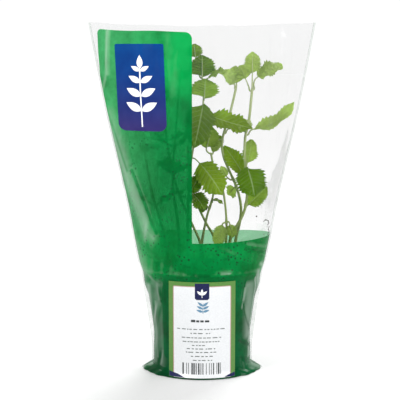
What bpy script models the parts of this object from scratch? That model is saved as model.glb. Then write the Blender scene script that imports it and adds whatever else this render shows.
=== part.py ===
"""A young mint plant in its nursery pot, inside an open-ended printed film sleeve with a paper label.

Run with: blender --background --python part.py
Metres, +Z up. The origin is under the middle of the pot, on the surface that it stands on.
The front of the sleeve, with its label, looks along -Y.
"""

import math
import random
from collections import namedtuple

import bmesh
import bpy
from mathutils import Vector

MM = 0.001
GAP = 0.3 * MM  # left between pieces that touch

# Nursery pot: a thin moulded cup with a deep collar round its mouth.
POT_HEIGHT = 93 * MM
POT_MOUTH_RADIUS = 52.5 * MM
POT_COLLAR_HEIGHT = 10 * MM
POT_NECK_RADIUS = 47.5 * MM  # just under the collar
POT_BASE_RADIUS = 40.5 * MM
POT_WALL = 1.2 * MM
POT_LIP = 0.5 * MM  # the chamfer of its mouth and of its foot
POT_FOOT_WIDTH = 4 * MM
POT_FOOT_HEIGHT = 2 * MM  # the floor stands this far above the ground
POT_SIDES = 40
DRAIN_HOLES = 8
DRAIN_RADIUS = 4 * MM
DRAIN_CIRCLE = 31 * MM

# Compost, a little below the rim.
SOIL_DEPTH_BELOW_RIM = 9 * MM
SOIL_CROWN = 2.5 * MM  # it is heaped in the middle by this much
SOIL_SHOULDER = (0.55, 0.8)  # share of the radius, and of the crown that is left there
SOIL_EDGE_SHARE = 0.9  # where the heap ends, as a share of the radius
SOIL_EDGE_DROP = 3 * MM

# Film sleeve: two flat panels welded along their sides, pulled open by the pot.
SLEEVE_HEIGHT = 314 * MM
FILM = 0.4 * MM
SEAM_INSET = 0.6 * MM  # each panel's edge stands this far from the seam plane
SLEEVE_FOOT_CLEARANCE = 0.4 * MM
SLEEVE_ROWS = 26
SLEEVE_COLUMNS = 18
# Height, half width, half depth in mm, and how pointed the section is: 0 is an ellipse, 1 is a lens.
SLEEVE_SECTIONS = (
    (0, 55.5, 47.5, 0.3),
    (4, 48.5, 46.2, 0.1),
    (9, 45.6, 45.6, 0),
    (20, 45.8, 45.8, 0),
    (42, 48.4, 48.4, 0),
    (64, 51.6, 51.6, 0),
    (79, 53.9, 53.9, 0),
    (91, 55.6, 54.6, 0),
    (98, 58.0, 52.6, 0.05),
    (109, 60.4, 50.6, 0.1),
    (123, 63.1, 48.8, 0.2),
    (145, 66.9, 46.4, 0.35),
    (182, 75.0, 42, 0.6),
    (218, 83.1, 36.5, 0.8),
    (247, 89.3, 31, 0.9),
    (282, 95.8, 25, 1),
    (314, 101.7, 18.5, 1),
)

# Paper label, stuck to the front panel over the pot.
LABEL_HALF_WIDTH = 28.8 * MM
LABEL_BOTTOM = 1.5 * MM
LABEL_TOP = 88.5 * MM
LABEL_THICKNESS = 0.3 * MM
LABEL_PROUD = 0.9 * MM  # its outer face stands this far off the film's
LABEL_ROWS = 14
LABEL_COLUMNS = 8

# Stems are square in section, thinner towards the top.
STEM_BASE_RADIUS = 1.6 * MM
STEM_TOP_RADIUS = 0.85 * MM
STEM_POINT_SPACING = 11 * MM

# Leaves: an ovate blade on a short stalk.
LEAF_THICKNESS = 0.7 * MM
STALK_HALF_WIDTH = 0.6 * MM
TIP_HALF_WIDTH = 0.5 * MM
STALK_STEPS = 3
BLADE_STEPS = 8
WIDEST_AT = 0.38  # share of the blade's length, from its heel
STALK_CLEARANCE = 1.0 * MM  # from the stem's skin to the end of the stalk
STALK_RISE = 0.3  # how much of the way up to the blade the stalk's first part takes
STALK_KNEE = 0.5  # how far back along the blade's line the stalk bends
TIP_POWER = 0.8  # below 1 is a fuller tip

Stem = namedtuple("Stem", "name points")
# stem and height say where the stalk leaves; heel and tip are the blade's two ends; faces is the way
# that its upper side looks; arch lifts its middle along that way, and cup lifts its two edges.
Leaf = namedtuple("Leaf", "name stem height heel tip width faces arch cup")

# Routes in mm from just above the compost to the top, in the order that they are met from the right.
STEMS = (
    Stem("stem_1", ((24, -6, 88), (26, -5, 121), (36, -4, 139), (40.5, -3, 156), (40, -2, 175),
                    (38.5, -2, 195), (39, -1, 212), (42, -1, 225), (44, -1, 244), (45, -1, 255))),
    Stem("stem_2", ((29, 7, 88), (31, 6, 118), (35.5, 5, 140), (33.5, 4, 159), (26.5, 4, 177),
                    (20, 3, 192), (18, 3, 205), (20, 3, 216), (25.3, 3, 233), (30.5, 3, 255))),
    Stem("stem_3", ((20, -15, 88), (22, -14, 131), (20, -12, 158), (17, -10, 172))),
    Stem("stem_4", ((-3, -2, 88), (0.5, -1, 120), (5.5, 1, 143), (10, 2, 158), (10.5, 3, 180), (8, 4, 197))),
    Stem("stem_5", ((17, 5, 88), (12.5, 6, 116), (3.5, 7, 133), (-5, 7, 152), (-11, 5, 176), (-13, 4, 203))),
    Stem("stem_6", ((-12, 13, 88), (-13, 15, 130), (-11, 14, 180), (-4, 10, 220), (1, 6, 241), (1, 4, 264))),
    Stem("stem_7", ((3, -12, 88), (-1, -12, 115), (-9, -11, 134), (-22, -8, 165), (-31, -5, 205),
                    (-35, -4, 245))),
    Stem("stem_8", ((-30, 3, 88), (-34, 3, 120), (-45, 3, 160), (-52, 2, 200), (-56, 1, 240))),
    Stem("stem_9", ((-20, 27, 88), (-22, 29, 125), (-27, 25, 170), (-24, 18, 215), (-20, 11, 262))),
)

# The shoots on the right, each leaf placed on its own.
PLACED_LEAVES = (
    Leaf("leaf_1_top", "stem_1", 254, (45, -4, 269), (45, -6, 288), 13, (0, -1, 0.2), 1, 1),
    Leaf("leaf_1_right", "stem_1", 253, (50, -1, 266), (72, -3, 276), 14, (-0.3, -0.8, 1), 2, 1),
    Leaf("leaf_1_left", "stem_1", 252, (39, 1, 264), (34, 5, 275), 13, (0, -1, 0.3), 1, 1),
    Leaf("leaf_1_long", "stem_1", 213, (47, -1, 219), (83, -1, 243), 14, (-0.3, -0.7, 0.9), -7, 2),
    Leaf("leaf_1_back", "stem_1", 210, (39, 5, 216), (34, 20, 226), 15, (0, -0.6, 1), 2, 1),
    Leaf("leaf_1_side", "stem_1", 184, (41, 3, 188), (45, 6, 209), 10, (0.5, -1, 0), 1, 1),
    Leaf("leaf_1_pale", "stem_1", 175, (37, 3, 178), (20, 9, 203), 15, (0.4, -1, 0.3), 1, 1.5),
    Leaf("leaf_1_round", "stem_1", 178, (41, -6, 184), (47, -15, 159), 27, (0.1, -1, 0.3), 3, -1),
    Leaf("leaf_1_low", "stem_1", 150, (42, 1, 150), (59, 5, 166), 14, (0.3, -1, 0.5), -2, 1),
    Leaf("leaf_2_left", "stem_2", 254, (29, 1, 259), (20, -2, 272), 11, (0.2, -1, 0.4), 1, 2),
    Leaf("leaf_2_right", "stem_2", 255, (31, 5, 260), (30, 9, 275), 12, (0, -1, 0.4), 1, 1),
    Leaf("leaf_2_back", "stem_2", 214, (24, 6, 219), (37, 14, 225), 14, (0, -0.4, 1), 2, 1),
    Leaf("leaf_2_droop", "stem_2", 209, (15, 3, 209), (10, 3, 198), 9, (-0.3, -1, 0.2), 1, 1),
    Leaf("leaf_2_bud", "stem_2", 172, (22, 2, 176), (17, 0, 185), 6.5, (0, -1, 0.2), 0.5, 0.5),
    Leaf("leaf_2_fold", "stem_2", 166, (30, 8, 165), (25, 14, 157), 11, (0, -1, 0.6), 1, 1),
    Leaf("leaf_3_left", "stem_3", 136, (18, -18, 134), (13, -21, 115), 11, (0.1, -1, 0.2), 0.5, 0.5),
    Leaf("leaf_3_right", "stem_3", 137, (25, -15, 134), (28, -14, 122), 8.5, (0, -1, 0.2), 0.5, 0.5),
    Leaf("leaf_4_left", "stem_4", 196, (4, -1, 202), (9, -5, 221), 16, (0.2, -1, 0.2), 1, 1),
    Leaf("leaf_4_right", "stem_4", 195, (12, 9, 203), (14, 14, 213), 9, (0, -1, 0.2), 0.5, 1),
    Leaf("leaf_4_low_left", "stem_4", 148, (4, -1, 149), (-1, -6, 144), 6, (0, -0.6, 1), 0.5, 0.5),
    Leaf("leaf_4_low_right", "stem_4", 152, (10, -1, 155), (19, -4, 151), 5, (0, -0.3, 1), 1, 0.5),
    Leaf("leaf_5_upper", "stem_5", 200, (7, -3, 231), (45, -8, 220), 16, (0, -0.8, 0.7), -2, 2.5),
    Leaf("leaf_5_large", "stem_5", 192, (-2, -13, 189), (18, -22, 161), 25, (0.3, -1, 0.5), 2, -1),
    Leaf("leaf_5_low", "stem_5", 160, (-8, -2, 160), (2, -12, 147), 15, (0.2, -0.8, 0.8), 1.5, 1),
    Leaf("leaf_6_tip", "stem_6", 263, (-6, 5, 283), (-7, 4, 295), 9, (0, -1, 0.2), 0.5, 1),
    Leaf("leaf_6_crown", "stem_6", 262, (0, 0, 266), (0, -5, 285), 17, (0.1, -1, 0.2), 1, 1.5),
    Leaf("leaf_6_right", "stem_6", 260, (6, 2, 265), (23, 1, 271), 9, (0, -0.4, 1), 1.5, 1),
    Leaf("leaf_6_front", "stem_6", 244, (2, -2, 247), (3, -6, 264), 20, (0, -1, 0.2), 1, 1),
    Leaf("leaf_6_large", "stem_6", 241, (1, -3, 241), (-7, -16, 203), 23, (0.2, -1, 0.5), 3, 1.5),
    Leaf("leaf_7_inner", "stem_7", 158, (-11, -16, 163), (-2, -13, 178), 12, (0.2, -1, 0.2), 1, 1),
)

# The shoots on the left grow in opposite pairs, each pair crossing the one below: the lowest pair's
# turn about the stem in degrees, then the pairs' heights in mm.
PAIRED_STEMS = {
    "stem_7": (108, (178, 209, 243)),
    "stem_8": (20, (150, 197, 238)),
    "stem_9": (10, (202, 260)),
}
PAIR_TURN = math.radians(90)
PAIR_STALK = 5  # mm
PAIR_SWING = 0.2  # radians, each leaf's own turn either way
PAIR_RISE = (0.2, 0.5)  # the least and most slope of a leaf's way out
PAIR_WIDTH = (0.62, 0.72)  # the least and most width, as a share of length
PAIR_TILT = 0.4  # how far a leaf's upper side turns towards its stem
PAIR_CUT = 0.95  # each try at a shorter leaf
PAIR_LENGTHS = (27, 22, 19)  # mm, of the blade, from the lowest pair up
FILM_CLEARANCE = 3 * MM  # a leaf is shortened until it stays this far inside the film


def clear_scene():
    for obj in list(bpy.data.objects):
        bpy.data.objects.remove(obj, do_unlink=True)


def material(name, colour, roughness, alpha=1.0):
    made = bpy.data.materials.new(name)
    made.use_nodes = True
    shader = made.node_tree.nodes["Principled BSDF"]
    shader.inputs["Base Color"].default_value = (*colour, 1)
    shader.inputs["Roughness"].default_value = roughness
    shader.inputs["Metallic"].default_value = 0
    shader.inputs["Alpha"].default_value = alpha
    return made


def add_mesh(name, bm, finish, parent):
    mesh = bpy.data.meshes.new(name)
    bm.to_mesh(mesh)
    bm.free()
    mesh.materials.append(finish)
    obj = bpy.data.objects.new(name, mesh)
    bpy.context.scene.collection.objects.link(obj)
    obj.parent = parent
    return obj


def smooth(obj, angle=35):
    obj.data.shade_smooth()
    obj.data.set_sharp_from_angle(angle=math.radians(angle))


def add_turned(name, points, sides, finish, parent):
    """Turns a profile of (radius, height) points about Z. It runs from axis to axis, down the outer side."""
    bm = bmesh.new()
    corners = [bm.verts.new((radius, 0, height)) for radius, height in points]
    for first, second in zip(corners, corners[1:]):
        bm.edges.new((first, second))
    turned = add_mesh(name, bm, finish, parent)
    screw = turned.modifiers.new("turn", "SCREW")
    screw.axis = "Z"
    screw.angle = math.tau
    screw.steps = sides
    screw.render_steps = sides
    screw.use_merge_vertices = True
    screw.merge_threshold = 0.00001
    return turned


def pot_inner_radius(height):
    """The inside of the pot's tapered side at a height under the collar."""
    neck = POT_HEIGHT - POT_COLLAR_HEIGHT
    return POT_BASE_RADIUS + (POT_NECK_RADIUS - POT_BASE_RADIUS) * height / neck - POT_WALL


def add_pot(finish, parent):
    neck = POT_HEIGHT - POT_COLLAR_HEIGHT
    floor = POT_FOOT_HEIGHT + POT_WALL
    profile = (
        (0, floor),
        (pot_inner_radius(floor), floor),
        (pot_inner_radius(neck), neck),
        (POT_MOUTH_RADIUS - POT_WALL, neck + POT_WALL),
        (POT_MOUTH_RADIUS - POT_WALL, POT_HEIGHT),
        (POT_MOUTH_RADIUS - POT_LIP, POT_HEIGHT),
        (POT_MOUTH_RADIUS, POT_HEIGHT - POT_LIP),
        (POT_MOUTH_RADIUS, neck),
        (POT_NECK_RADIUS, neck - POT_WALL),
        (POT_BASE_RADIUS + POT_LIP, POT_LIP),
        (POT_BASE_RADIUS, 0),
        (POT_BASE_RADIUS - POT_FOOT_WIDTH, 0),
        (POT_BASE_RADIUS - POT_FOOT_WIDTH - POT_WALL, POT_FOOT_HEIGHT),
        (0, POT_FOOT_HEIGHT),
    )
    pot = add_turned("pot", profile, POT_SIDES, finish, parent)
    for index in range(DRAIN_HOLES):
        angle = math.tau * index / DRAIN_HOLES
        bpy.ops.mesh.primitive_cylinder_add(
            vertices=12,
            radius=DRAIN_RADIUS,
            depth=4 * floor,
            location=(DRAIN_CIRCLE * math.cos(angle), DRAIN_CIRCLE * math.sin(angle), floor),
        )
        cutter = bpy.context.object
        cutter.name = f"drain_cutter_{index + 1}"
        cutter.hide_render = True
        cutter.display_type = "WIRE"
        cutter.parent = parent
        cut = pot.modifiers.new(f"drain_{index + 1}", "BOOLEAN")
        cut.operation = "DIFFERENCE"
        cut.object = cutter
    smooth(pot)
    return pot


def add_soil(finish, parent):
    top = POT_HEIGHT - SOIL_DEPTH_BELOW_RIM
    bottom = POT_FOOT_HEIGHT + POT_WALL + GAP
    neck = POT_HEIGHT - POT_COLLAR_HEIGHT
    edge = min(top, neck)
    profile = (
        (0, top + SOIL_CROWN),
        (pot_inner_radius(neck) * SOIL_SHOULDER[0], top + SOIL_CROWN * SOIL_SHOULDER[1]),
        (pot_inner_radius(neck) * SOIL_EDGE_SHARE, top),
        (pot_inner_radius(edge) - 2 * GAP, edge - SOIL_EDGE_DROP),
        (pot_inner_radius(bottom) - 2 * GAP, bottom),
        (0, bottom),
    )
    soil = add_turned("soil", profile, POT_SIDES, finish, parent)
    smooth(soil)
    return soil


def section_at(height):
    """The sleeve's half width, half depth and pointedness at a height, in metres."""
    for low, high in zip(SLEEVE_SECTIONS, SLEEVE_SECTIONS[1:]):
        if height <= high[0] * MM:
            share = (height / MM - low[0]) / (high[0] - low[0])
            width, depth, point = (a + (b - a) * share for a, b in zip(low[1:], high[1:]))
            return width * MM, depth * MM, point
    return SLEEVE_SECTIONS[-1][1] * MM, SLEEVE_SECTIONS[-1][2] * MM, SLEEVE_SECTIONS[-1][3]


def film_point(across, height, side, proud=0.0):
    """A point on the outside of a film panel: across runs from -1 at one seam to 1 at the other."""
    width, depth, point = section_at(height)
    turn = across * math.pi / 2
    bulge = math.cos(turn) ** (1 + point)
    return Vector((width * math.sin(turn), side * (depth * bulge + SEAM_INSET + proud), height))


def sleeve_heights():
    """Rows that are close together where the film is tight on the pot and far apart above it."""
    low = SLEEVE_FOOT_CLEARANCE
    rows = [low, 4 * MM, 9 * MM]
    rest = SLEEVE_ROWS - len(rows)
    rows += [9 * MM + (SLEEVE_HEIGHT - 9 * MM) * (step / rest) for step in range(1, rest + 1)]
    return rows


def add_panel(name, side, finish, parent):
    """One film panel, from seam to seam. side is -1 for the front and 1 for the back."""
    bm = bmesh.new()
    grid = []
    for height in sleeve_heights():
        row = [
            bm.verts.new(film_point(2 * column / SLEEVE_COLUMNS - 1, height, side))
            for column in range(SLEEVE_COLUMNS + 1)
        ]
        grid.append(row)
    for low, high in zip(grid, grid[1:]):
        for column in range(SLEEVE_COLUMNS):
            corners = (low[column], low[column + 1], high[column + 1], high[column])
            bm.faces.new(corners if side < 0 else corners[::-1])
    panel = add_mesh(name, bm, finish, parent)
    wall = panel.modifiers.new("film", "SOLIDIFY")
    wall.thickness = FILM
    wall.offset = -1
    smooth(panel)
    return panel


def add_label(finish, parent):
    """A rectangle of paper laid on the front panel, a little proud of it."""
    bm = bmesh.new()
    grid = []
    for row in range(LABEL_ROWS + 1):
        height = LABEL_BOTTOM + (LABEL_TOP - LABEL_BOTTOM) * row / LABEL_ROWS
        width = section_at(height)[0]
        points = []
        for column in range(LABEL_COLUMNS + 1):
            place = LABEL_HALF_WIDTH * (2 * column / LABEL_COLUMNS - 1)
            across = math.asin(place / width) * 2 / math.pi
            points.append(bm.verts.new(film_point(across, height, -1, LABEL_PROUD)))
        grid.append(points)
    for low, high in zip(grid, grid[1:]):
        for column in range(LABEL_COLUMNS):
            bm.faces.new((low[column], low[column + 1], high[column + 1], high[column]))
    label = add_mesh("label", bm, finish, parent)
    paper = label.modifiers.new("paper", "SOLIDIFY")
    paper.thickness = LABEL_THICKNESS
    paper.offset = -1
    smooth(label)
    return label


def curve_through(points, share):
    """A point on the smooth Catmull-Rom curve through points, at a share of its segments."""
    place = share * (len(points) - 1)
    index = min(int(place), len(points) - 2)
    t = place - index
    before = points[max(index - 1, 0)]
    start, end = points[index], points[index + 1]
    after = points[min(index + 2, len(points) - 1)]
    leave = (end - before) / 2
    arrive = (after - start) / 2
    return (
        start * (2 * t**3 - 3 * t**2 + 1)
        + leave * (t**3 - 2 * t**2 + t)
        + end * (3 * t**2 - 2 * t**3)
        + arrive * (t**3 - t**2)
    )


def stem_route(stem):
    points = [Vector(point) * MM for point in stem.points]
    length = sum((b - a).length for a, b in zip(points, points[1:]))
    steps = max(4, round(length / STEM_POINT_SPACING))
    return [curve_through(points, step / steps) for step in range(steps + 1)]


def add_stem(stem, finish, parent):
    route = stem_route(stem)
    data = bpy.data.curves.new(stem.name, "CURVE")
    data.dimensions = "3D"
    data.bevel_depth = 1.0
    data.bevel_resolution = 0
    data.use_fill_caps = True
    data.materials.append(finish)
    spline = data.splines.new("POLY")
    spline.points.add(len(route) - 1)
    for index, (corner, place) in enumerate(zip(spline.points, route)):
        corner.co = (*place, 1)
        share = index / (len(route) - 1)
        corner.radius = STEM_BASE_RADIUS + (STEM_TOP_RADIUS - STEM_BASE_RADIUS) * share
    obj = bpy.data.objects.new(stem.name, data)
    bpy.context.scene.collection.objects.link(obj)
    obj.parent = parent
    return obj


def place_on_stem(stem, height):
    """The middle of the stem at a height, and its radius there."""
    route = stem_route(stem)
    below = [index for index, place in enumerate(route[:-1]) if place.z < height]
    index = max(below, default=0)
    low, high = route[index], route[index + 1]
    share = min(max((height - low.z) / (high.z - low.z), 0), 1)
    along = (index + share) / (len(route) - 1)
    radius = STEM_BASE_RADIUS + (STEM_TOP_RADIUS - STEM_BASE_RADIUS) * along
    return low.lerp(high, share), radius


def bezier(start, middle, end, t):
    return start * (1 - t) ** 2 + middle * 2 * t * (1 - t) + end * t**2


def blade_half_width(share, width):
    """An ovate outline: round at the heel, widest before the middle, drawn out to the tip."""
    if share < WIDEST_AT:
        round_part = 1 - share / WIDEST_AT
        return width / 2 * math.sqrt(max(1 - round_part**2, 0))
    return width / 2 * math.cos((share - WIDEST_AT) / (1 - WIDEST_AT) * math.pi / 2) ** TIP_POWER


def add_leaf(leaf, stems, finish, parent):
    """A blade on its stalk, as three lines of points: left edge, midrib and right edge."""
    heel, tip = Vector(leaf.heel) * MM, Vector(leaf.tip) * MM
    middle, radius = place_on_stem(stems[leaf.stem], leaf.height * MM)
    out = heel - middle
    out.z *= STALK_RISE
    foot = middle + out.normalized() * (radius + STALK_CLEARANCE)
    along = (tip - heel).normalized()
    upper = Vector(leaf.faces)
    upper = (upper - along * upper.dot(along)).normalized()
    crest = (heel + tip) / 2 + upper * 2 * leaf.arch * MM
    leave = (crest - heel).normalized()
    knee = heel - leave * (heel - foot).length * STALK_KNEE
    stalk = [bezier(foot, knee, heel, step / STALK_STEPS) for step in range(STALK_STEPS)]
    stations = [(place, STALK_HALF_WIDTH) for place in stalk]
    for step in range(BLADE_STEPS + 1):
        share = step / BLADE_STEPS
        half = max(blade_half_width(share, leaf.width * MM), TIP_HALF_WIDTH)
        stations.append((bezier(heel, crest, tip, share), half))
    bm = bmesh.new()
    grid = []
    for index, (place, half) in enumerate(stations):
        before = stations[max(index - 1, 0)][0]
        after = stations[min(index + 1, len(stations) - 1)][0]
        across = (after - before).cross(upper).normalized()
        lift = upper * leaf.cup * MM * (half / (leaf.width * MM / 2)) ** 2
        edges = (place - across * half + lift, place, place + across * half + lift)
        grid.append([bm.verts.new(point) for point in edges])
    for low, high in zip(grid, grid[1:]):
        for column in (0, 1):
            bm.faces.new((low[column], low[column + 1], high[column + 1], high[column]))
    obj = add_mesh(leaf.name, bm, finish, parent)
    blade = obj.modifiers.new("blade", "SOLIDIFY")
    blade.thickness = LEAF_THICKNESS
    blade.offset = 0
    smooth(obj, 60)
    return obj


def inside_film(point):
    width, depth, point_share = section_at(point.z)
    across = min(abs(point.x) / (width - FILM_CLEARANCE), 1)
    bulge = math.sqrt(1 - across**2) ** (1 + point_share)
    return across < 1 and abs(point.y) < depth * bulge - FILM_CLEARANCE


def paired_leaf(name, stem, height, angle, length, dice):
    """A leaf that leaves its stem level at an angle, shortened until the film has room for it."""
    middle = place_on_stem(stem, height * MM)[0] / MM
    way = Vector((math.cos(angle), math.sin(angle), dice.uniform(*PAIR_RISE)))
    width_share = dice.uniform(*PAIR_WIDTH)
    heel = middle + way * PAIR_STALK
    while True:
        tip = heel + way.normalized() * length
        belly = (heel + tip) / 2
        side = way.cross(Vector((0, 0, 1))).normalized() * length * width_share / 2
        if length < PAIR_STALK or all(inside_film(p * MM) for p in (tip, belly + side, belly - side)):
            break
        length *= PAIR_CUT
    faces = (-way.x * PAIR_TILT, -way.y * PAIR_TILT, 1)
    return Leaf(name, stem.name, height, tuple(heel), tuple(tip), length * width_share, faces, 1.5, 1)


def paired_leaves(stems):
    """The left-hand shoots' leaves: two at each node, opposite, a quarter turn from the pair below."""
    dice = random.Random(11)
    found = []
    for stem_name, (first_turn, heights) in PAIRED_STEMS.items():
        for level, (height, length) in enumerate(zip(heights, PAIR_LENGTHS)):
            for side, letter in enumerate("ab"):
                turn = math.radians(first_turn) + level * PAIR_TURN + side * math.pi
                angle = turn + dice.uniform(-PAIR_SWING, PAIR_SWING)
                name = f"leaf_{stem_name[-1]}_pair_{level + 1}{letter}"
                found.append(paired_leaf(name, stems[stem_name], height, angle, length, dice))
    return found


def main():
    clear_scene()
    root = bpy.data.objects.new("potted_mint", None)
    bpy.context.scene.collection.objects.link(root)
    add_pot(material("pot_black_polypropylene", (0.02, 0.02, 0.022), 0.55), root)
    add_soil(material("compost", (0.045, 0.028, 0.018), 0.95), root)
    film = material("printed_film", (0.02, 0.35, 0.08), 0.25, alpha=0.55)
    add_panel("sleeve_front", -1, film, root)
    add_panel("sleeve_back", 1, film, root)
    add_label(material("label_paper", (0.85, 0.86, 0.82), 0.5), root)
    stalk = material("mint_stem", (0.22, 0.36, 0.10), 0.5)
    blade = material("mint_leaf", (0.10, 0.28, 0.04), 0.45)
    stems = {stem.name: stem for stem in STEMS}
    for stem in STEMS:
        add_stem(stem, stalk, root)
    for leaf in PLACED_LEAVES + tuple(paired_leaves(stems)):
        add_leaf(leaf, stems, blade, root)


main()
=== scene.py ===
# %% [markdown]
# # Potted mint in a printed film sleeve
# The real thing is a kitchen herb as it is sold: a black nursery pot of compost, nine mint shoots,
# and a cone of clear film with a green print round it, with a paper label on the front. It could be
# made as one big mesh, but each thing is made by itself here, on the solid that already holds its
# place, so that any of them can be changed or used again. Loading those solids comes first.

# %% load the frame
import itertools
import math
import random

import bmesh
import bpy
import numpy as np
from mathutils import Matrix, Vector, noise


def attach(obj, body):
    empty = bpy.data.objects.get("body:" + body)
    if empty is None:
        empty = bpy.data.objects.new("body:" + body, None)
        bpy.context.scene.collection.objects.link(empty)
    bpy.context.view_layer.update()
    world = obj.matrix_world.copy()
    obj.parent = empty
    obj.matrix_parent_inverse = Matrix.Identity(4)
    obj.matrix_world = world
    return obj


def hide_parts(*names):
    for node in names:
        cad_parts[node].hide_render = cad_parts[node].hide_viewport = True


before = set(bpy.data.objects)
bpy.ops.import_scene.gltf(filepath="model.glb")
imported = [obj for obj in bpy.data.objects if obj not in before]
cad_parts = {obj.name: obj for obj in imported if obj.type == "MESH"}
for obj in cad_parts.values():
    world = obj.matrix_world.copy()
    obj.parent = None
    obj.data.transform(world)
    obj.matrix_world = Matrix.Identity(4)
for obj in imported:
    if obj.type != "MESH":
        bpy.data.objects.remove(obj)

MM = 0.001
bpy.ops.object.select_all(action="DESELECT")
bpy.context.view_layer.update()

# %% [markdown]
# Colours are picked on a screen, so they are sRGB hex values, and a shader wants linear light.
# One function turns one into the other. Another adds a node to a material with its settings
# and its links in one line, which keeps every material below short enough to read. A pattern's
# scale is the number of its patches in a metre, so it is worked out from a patch's real size.

# %% colours and nodes
def linear(hex_colour):
    """An sRGB hex colour as linear red, green, blue and alpha."""
    shares = [int(hex_colour[i : i + 2], 16) / 255 for i in (1, 3, 5)]
    return [s / 12.92 if s <= 0.04045 else ((s + 0.055) / 1.055) ** 2.4 for s in shares] + [1.0]


def as_colour(value):
    """A hex colour, the share of white in a grey, or four linear values, as four linear values."""
    if isinstance(value, str):
        return linear(value)
    return value if isinstance(value, list) else [value, value, value, 1.0]


def patches(size):
    """The scale of a pattern whose patches are about this many millimetres across."""
    return float(round(1 / (size * MM)))


def add_node(tree, kind, inputs=None, stops=(), **settings):
    """Adds a node. An input is a value, a hex colour, a node (its first output) or (node, output name).
    A colour ramp's stops are (place, colour), and a plain number there is a grey."""
    made = tree.nodes.new("ShaderNode" + kind)
    for name, value in settings.items():
        setattr(made, name, value)
    for place, _ in stops[2:]:
        made.color_ramp.elements.new(place)
    for element, (place, colour) in zip(made.color_ramp.elements if stops else (), stops):
        element.position = place
        element.color = as_colour(colour)
    for socket, value in (inputs or {}).items():
        node, output = value if isinstance(value, tuple) and len(value) == 2 else (value, 0)
        if isinstance(node, bpy.types.Node):
            tree.links.new(node.outputs[output], made.inputs[socket])
        else:
            made.inputs[socket].default_value = linear(value) if isinstance(value, str) else value
    return made


def new_material(name):
    """A new material, its node tree, and where on the piece a point is, as an input for its nodes."""
    made = bpy.data.materials.new(name)
    made.use_nodes = True
    made.node_tree.nodes.clear()
    return made, made.node_tree, (add_node(made.node_tree, "TexCoord"), "Object")


print("compost brown in linear light:", [round(v, 3) for v in linear("#3A2A1E")])

# %% [markdown]
# Every new piece goes the same way: a primitive, its corners set in place, modifiers applied, and
# then the piece is told what it rides on, which solid it stands for and which finish it takes.

# %% helpers for pieces
def corners(obj):
    places = np.empty(len(obj.data.vertices) * 3)
    obj.data.vertices.foreach_get("co", places)
    return places.reshape(-1, 3)


def set_corners(obj, places):
    obj.data.vertices.foreach_set("co", np.asarray(places, float).reshape(-1))
    obj.data.update()


def only(obj):
    bpy.ops.object.select_all(action="DESELECT")
    obj.select_set(True)
    bpy.context.view_layer.objects.active = obj


def modify(obj, kind, **settings):
    """Adds a modifier and applies it."""
    only(obj)
    made = obj.modifiers.new(kind.lower(), kind)
    for name, value in settings.items():
        setattr(made, name, value)
    bpy.ops.object.modifier_apply(modifier=made.name)


def grid(name, across, up):
    """A flat grid from -1 to 1 each way, as a start for a sheet."""
    bpy.ops.object.select_all(action="DESELECT")
    bpy.ops.mesh.primitive_grid_add(x_subdivisions=across, y_subdivisions=up, size=2, location=(0, 0, 0))
    bpy.context.object.name = name
    return bpy.context.object


def join(name, pieces):
    only(pieces[0])
    for piece in pieces:
        piece.select_set(True)
    bpy.ops.object.join()
    bpy.context.object.name = name
    return bpy.context.object


def own_copy(obj):
    """A copy with a mesh of its own."""
    copy = obj.copy()
    copy.data = obj.data.copy()
    bpy.context.scene.collection.objects.link(copy)
    return copy


def new_object(name, data):
    made = bpy.data.objects.new(name, data)
    bpy.context.scene.collection.objects.link(made)
    return made


def face_out(obj, merge=0):
    """Makes corners nearer than merge one, where it is given, and turns every face outwards."""
    only(obj)
    bpy.ops.object.mode_set(mode="EDIT")
    bpy.ops.mesh.select_all(action="SELECT")
    if merge:
        bpy.ops.mesh.remove_doubles(threshold=merge)
    bpy.ops.mesh.normals_make_consistent(inside=False)
    bpy.ops.object.mode_set(mode="OBJECT")


def finished(obj, slot, *nodes, angle=50):
    """Smooths a piece up to an angle and says what it rides on and what it stands for. The slot is not used.
    """
    only(obj)
    bpy.ops.object.shade_smooth_by_angle(angle=math.radians(angle))
    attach(obj, "root")
    if nodes:
        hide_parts(*nodes)
    return obj


def smoothstep(low, high, values):
    """From 0 at low to 1 at high, level at both ends."""
    share = np.clip((values - low) / (high - low), 0, 1)
    return share * share * (3 - 2 * share)


# %% [markdown]
# ## Camera, floor and light
# A product like this is shown on a white sweep, from a little above its middle, through a long
# lens, so that its sides stay straight. A big pale floor, a white surround and three large soft
# lamps give that. One lamp stands behind, because leaves and film are both seen with light through.

# %% camera
CAMERA_PLACE, CAMERA_PITCH = (-0.0018, -1.2, 0.29), 83.553
bpy.ops.object.camera_add(location=CAMERA_PLACE, rotation=(math.radians(CAMERA_PITCH), 0, 0))
camera = bpy.context.object
camera.name = "camera"
camera.data.lens = 120
camera.data.sensor_width = 36
camera.data.clip_end = 100
bpy.context.scene.camera = camera
bpy.context.scene.view_settings.view_transform = "Standard"
print("camera", [round(v, 3) for v in camera.location])

# %% floor, surround and lamps
floor_paint, tree, place = new_material("floor_matte_white_sweep")
far = add_node(tree, "VectorMath", {0: place}, operation="LENGTH")
paler_away = add_node(  # the sweep grows white towards its edge, with no line where it ends
    tree, "MapRange",
    {"Value": (far, "Value"), "From Min": 0.45, "From Max": 1.45, "To Min": 0.1, "To Max": 0.62},
)
grain = add_node(tree, "TexNoise", {"Scale": patches(25), "Detail": 3.0})
tone = add_node(tree, "ValToRGB", {"Fac": grain}, stops=[(0.3, "#D4D4D4"), (0.7, "#D8D8D8")])
skin = add_node(
    tree, "BsdfPrincipled",
    {
        "Base Color": tone, "Roughness": 0.9, "Specular IOR Level": 0.1,
        "Emission Color": "#FFFFFF", "Emission Strength": paler_away,
    },
)
add_node(tree, "OutputMaterial", {"Surface": skin})
bpy.ops.mesh.primitive_plane_add(size=30, location=(0, 0, -0.0004))
floor = bpy.context.object
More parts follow.
